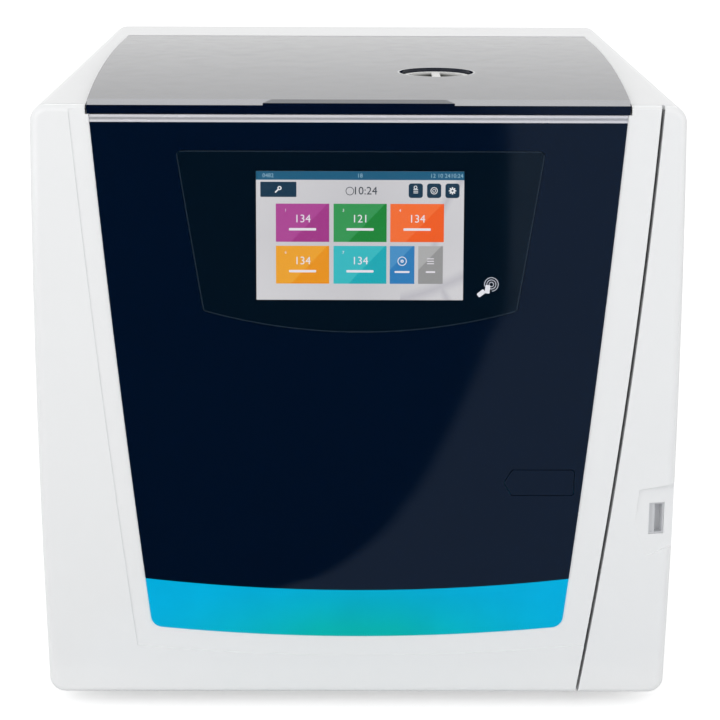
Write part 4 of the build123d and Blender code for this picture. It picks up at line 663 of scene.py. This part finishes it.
def build_tiles():
    """Five tiles with plain figures and a bar, and two narrow ones with a simple sign."""
    places = [
        ("magenta", 0.0966, 0.2500, 0.3533, 0.5465, (176, 70, 150), (164, 52, 136), "134", "1"),
        ("green", 0.3740, 0.2500, 0.6294, 0.5465, (50, 152, 82), (14, 134, 50), "121", "3"),
        ("orange", 0.6467, 0.2500, 0.9048, 0.5465, (250, 112, 48), (246, 94, 22), "134", "4"),
        ("amber", 0.0966, 0.5775, 0.3533, 0.8726, (242, 166, 42), (238, 150, 10), "134", "6"),
        ("teal", 0.3740, 0.5775, 0.6294, 0.8726, (54, 188, 196), (16, 172, 184), "134", "7"),
        ("blue", 0.6453, 0.5775, 0.7642, 0.8726, (72, 146, 200), (42, 126, 188), "", ""),
        ("grey", 0.7823, 0.5775, 0.9012, 0.8726, (176, 176, 176), (152, 152, 152), "", ""),
    ]
    figures = []
    for name, u0, v0, u1, v1, light, deep, text, mark in places:
        tile("display_tile_" + name, u0, v0, u1, v1,
             lit("display_%s_light" % name, linear(*light)),
             lit("display_%s_deep" % name, linear(*deep)))
        x, y = screen_spot((u0 + u1) / 2, v0 + (v1 - v0) * 0.40)
        if text:
            figures.append(number(text, x, y, BIG_FIGURES, INK_LAYER, FILM / 2))
            x, y = screen_spot(u0 + 0.047, v0 + 0.052)
            figures.append(number(mark, x, y, SMALL_FIGURES, INK_LAYER, FILM / 2))
            x, y = screen_spot((u0 + u1) / 2, v0 + (v1 - v0) * 0.67)
            figures.append(card(x, y, 0.020, 0.0018, 0.0005, INK_LAYER, FILM))
        elif name == "blue":
            figures.append(ring(x, y, 0.0034, 0.0028, INK_LAYER, FILM))
            figures.append(ring(x, y, 0.0012, 0.0004, INK_LAYER, FILM, 20))
            figures.append(card(x, y - 0.0080, 0.0110, 0.0014, 0.0004, INK_LAYER, FILM))
        else:
            figures += bars(x, y - 0.0018, 0.0050, 0.0006, 0.0018)
            figures.append(card(x, y - 0.0080, 0.0070, 0.0012, 0.0004, INK_LAYER, FILM))
    settle(gathered(*figures), "display_tile_figures", SCREEN_BOARD, "door", "display_picture",
           lit("display_ink", linear(236, 232, 240)))


def build_display():
    """A glowing ground, and on it the bar, the buttons, the title and the tiles."""
    ground = card(0, 0, SCREEN_WIDE, SCREEN_TALL, 0.0004, 0.0, 0.0004)
    settle(ground, "display_ground", SCREEN_BOARD, "door", "display_picture", backlight())
    build_header()
    build_buttons()
    build_title()
    build_tiles()


def build_card_sign():
    """The pale sign printed on the glass: a card held to three waves."""
    board = on_front(SIGN_X, SIGN_Z, SIGN_DEPTH)
    lift = 0.00010
    middle = (0.0012, 0.0014, lift)
    line = 0.0007
    waves = []
    for radius in (0.0020, 0.0037, 0.0054):
        clear_choice()
        bpy.ops.mesh.primitive_circle_add(radius=radius, vertices=48, location=middle)
        arc = bpy.context.object
        inner = 1 - line / radius
        bpy.ops.object.mode_set(mode="EDIT")
        bpy.ops.mesh.select_all(action="SELECT")
        bpy.ops.mesh.extrude_region_move()
        bpy.ops.transform.resize(value=(inner, inner, 1), center_override=middle)
        bpy.ops.mesh.select_all(action="SELECT")
        bpy.ops.mesh.bisect(plane_co=(-0.0030, -0.0006, 0), plane_no=(-0.55, -0.85, 0), clear_outer=True)
        bpy.ops.object.mode_set(mode="OBJECT")
        waves.append(arc)
    settle(gathered(*waves), "card_sign_waves", board, "door", "display_picture",
           printed("sign_pale", (0.42, 0.44, 0.50)))
    hand_lift, thick = lift * 1.5, 0.00005
    hand = card(0, 0, 0.0062, 0.0034, 0.0009, hand_lift, thick)
    hand.rotation_euler.z = math.radians(38)
    hand.location = (-0.0062, -0.0052, hand_lift)
    held = card(0, 0, 0.0036, 0.0062, 0.0006, hand_lift, thick)
    held.rotation_euler.z = math.radians(-6)
    held.location = (-0.0016, -0.0022, hand_lift)
    settle(gathered(hand, held), "card_sign_hand", board, "door", "display_picture",
           printed("sign_white", (0.80, 0.80, 0.86)))


def printed(name, colour):
    """Screen printed ink: opaque, satin, a little uneven."""
    paint = Paint(name)
    dots = paint.grain(2600.0)
    paint.set(Base_Color=paint.blend(dots, shade(colour, 0.94), shade(colour, 1.04)), Roughness=0.45)
    paint.relief(dots, 0.2, 0.00001)
    return paint.material


# Studio

SURROUND_LIGHT = 0.77
SURROUND_SEEN = 1.0
FLOOR_SEEN = 0.45
MIRRORED_DARK = (0.010, 0.016, 0.026)
MIRRORED_GREY = (0.21, 0.275, 0.38)


def stage_plane(name, place, wide, deep, tilt=0.0):
    """A flat sheet of the studio, which is no part of the object."""
    clear_choice()
    bpy.ops.mesh.primitive_plane_add(size=1.0, location=place, rotation=(math.radians(tilt), 0, 0))
    sheet = bpy.context.object
    sheet.name = name
    sheet.scale = (wide, deep, 1)
    bpy.ops.object.transform_apply(location=True, rotation=True, scale=True)
    return sheet


def gloss_card(name, place, wide, deep, tilt):
    """A stage card that only gloss sees, clear to the camera and to the light."""
    screen = stage_plane(name, place, wide, deep, tilt)
    paint = Paint(name)
    clear = paint.tree.nodes.new("ShaderNodeBsdfTransparent")
    mixed = paint.tree.nodes.new("ShaderNodeMixShader")
    paint.feed(mixed.inputs[0], paint.node("ShaderNodeLightPath", {}, out="Is Glossy Ray"))
    paint.tree.links.new(clear.outputs[0], mixed.inputs[1])
    paint.tree.links.new(paint.shader.outputs[0], mixed.inputs[2])
    paint.tree.links.new(mixed.outputs[0], paint.tree.nodes["Material Output"].inputs["Surface"])
    screen.data.materials.append(paint.material)
    return paint.set(Base_Color=(0, 0, 0), Specular_IOR_Level=0.0)


def add_room():
    """What the gloss front mirrors: dark to the left, grey beyond a curved edge.

    A bright card over the lid shows in the bevel along its front.
    """
    for name, place, wide, deep, tilt in (
        ("mirrored_floor", (0, -1.75, 0.0004), 6.0, 2.84, 0.0),
        ("mirrored_wall", (0, -3.16, 0.9), 6.0, 1.8, 90.0),
    ):
        paint = gloss_card(name, place, wide, deep, tilt)
        x, y, _ = paint.axes()
        straight = x + y * 0.1 - 0.02
        curve = 0.014 / (-0.36 - y).most(0.05)
        grey = paint.band(straight + curve, -0.004, 0.012)
        paint.set(Emission_Color=paint.blend(grey, MIRRORED_DARK, MIRRORED_GREY), Emission_Strength=1.0)
    bevel_card = gloss_card("card_over_lid", (0, 1.25, 1.60), 2.4, 0.45, -53.0)
    bevel_card.set(Emission_Color=(0.98, 0.98, 1.0), Emission_Strength=3.4)


def add_floor():
    """A pale floor that keeps the shadow and glows a little where the camera sees it."""
    floor = stage_plane("floor", (0, 0, -0.0002), 14, 14)
    paint = Paint("floor_paper")
    seen = paint.node("ShaderNodeLightPath", {}, out="Is Camera Ray")
    paint.set(Base_Color=(0.86, 0.86, 0.86), Roughness=0.9, Specular_IOR_Level=0.1)
    paint.set(Emission_Color=(1.0, 1.0, 1.0), Emission_Strength=seen * FLOOR_SEEN)
    floor.data.materials.append(paint.material)


def add_surround():
    """A white world, a little weaker as a light than where it is seen, mirrored or seen through glass."""
    world = bpy.data.worlds.new("surround")
    bpy.context.scene.world = world
    world.use_nodes = True
    tree = world.node_tree
    path = tree.nodes.new("ShaderNodeLightPath")
    seen = path.outputs["Is Camera Ray"]
    for ray in ("Is Glossy Ray", "Is Transmission Ray"):
        most = tree.nodes.new("ShaderNodeMath")
        most.operation = "MAXIMUM"
        tree.links.new(seen, most.inputs[0])
        tree.links.new(path.outputs[ray], most.inputs[1])
        seen = most.outputs[0]
    level = tree.nodes.new("ShaderNodeMapRange")
    tree.links.new(seen, level.inputs["Value"])
    level.inputs["To Min"].default_value = SURROUND_LIGHT
    level.inputs["To Max"].default_value = SURROUND_SEEN
    tree.links.new(level.outputs[0], tree.nodes["Background"].inputs["Strength"])
    tree.nodes["Background"].inputs["Color"].default_value = (1, 1, 1, 1)


def add_studio():
    """The floor, what the gloss mirrors, the surround and three lamps."""
    add_floor()
    add_room()
    add_surround()
    middle, deck = (0, 0, 0.25), (0, 0, 0.4)
    add_lamp("key", (-1.6, -2.3, 1.3), middle, 1.8, 17)
    add_lamp("fill", (1.9, -2.0, 1.2), middle, 1.6, 7)
    add_lamp("top", (0.1, 0.2, 2.6), deck, 2.0, 0.6)


bpy.context.scene.view_settings.view_transform = "Standard"
add_camera()
add_studio()
finish_nodes()
build_display()
build_card_sign()
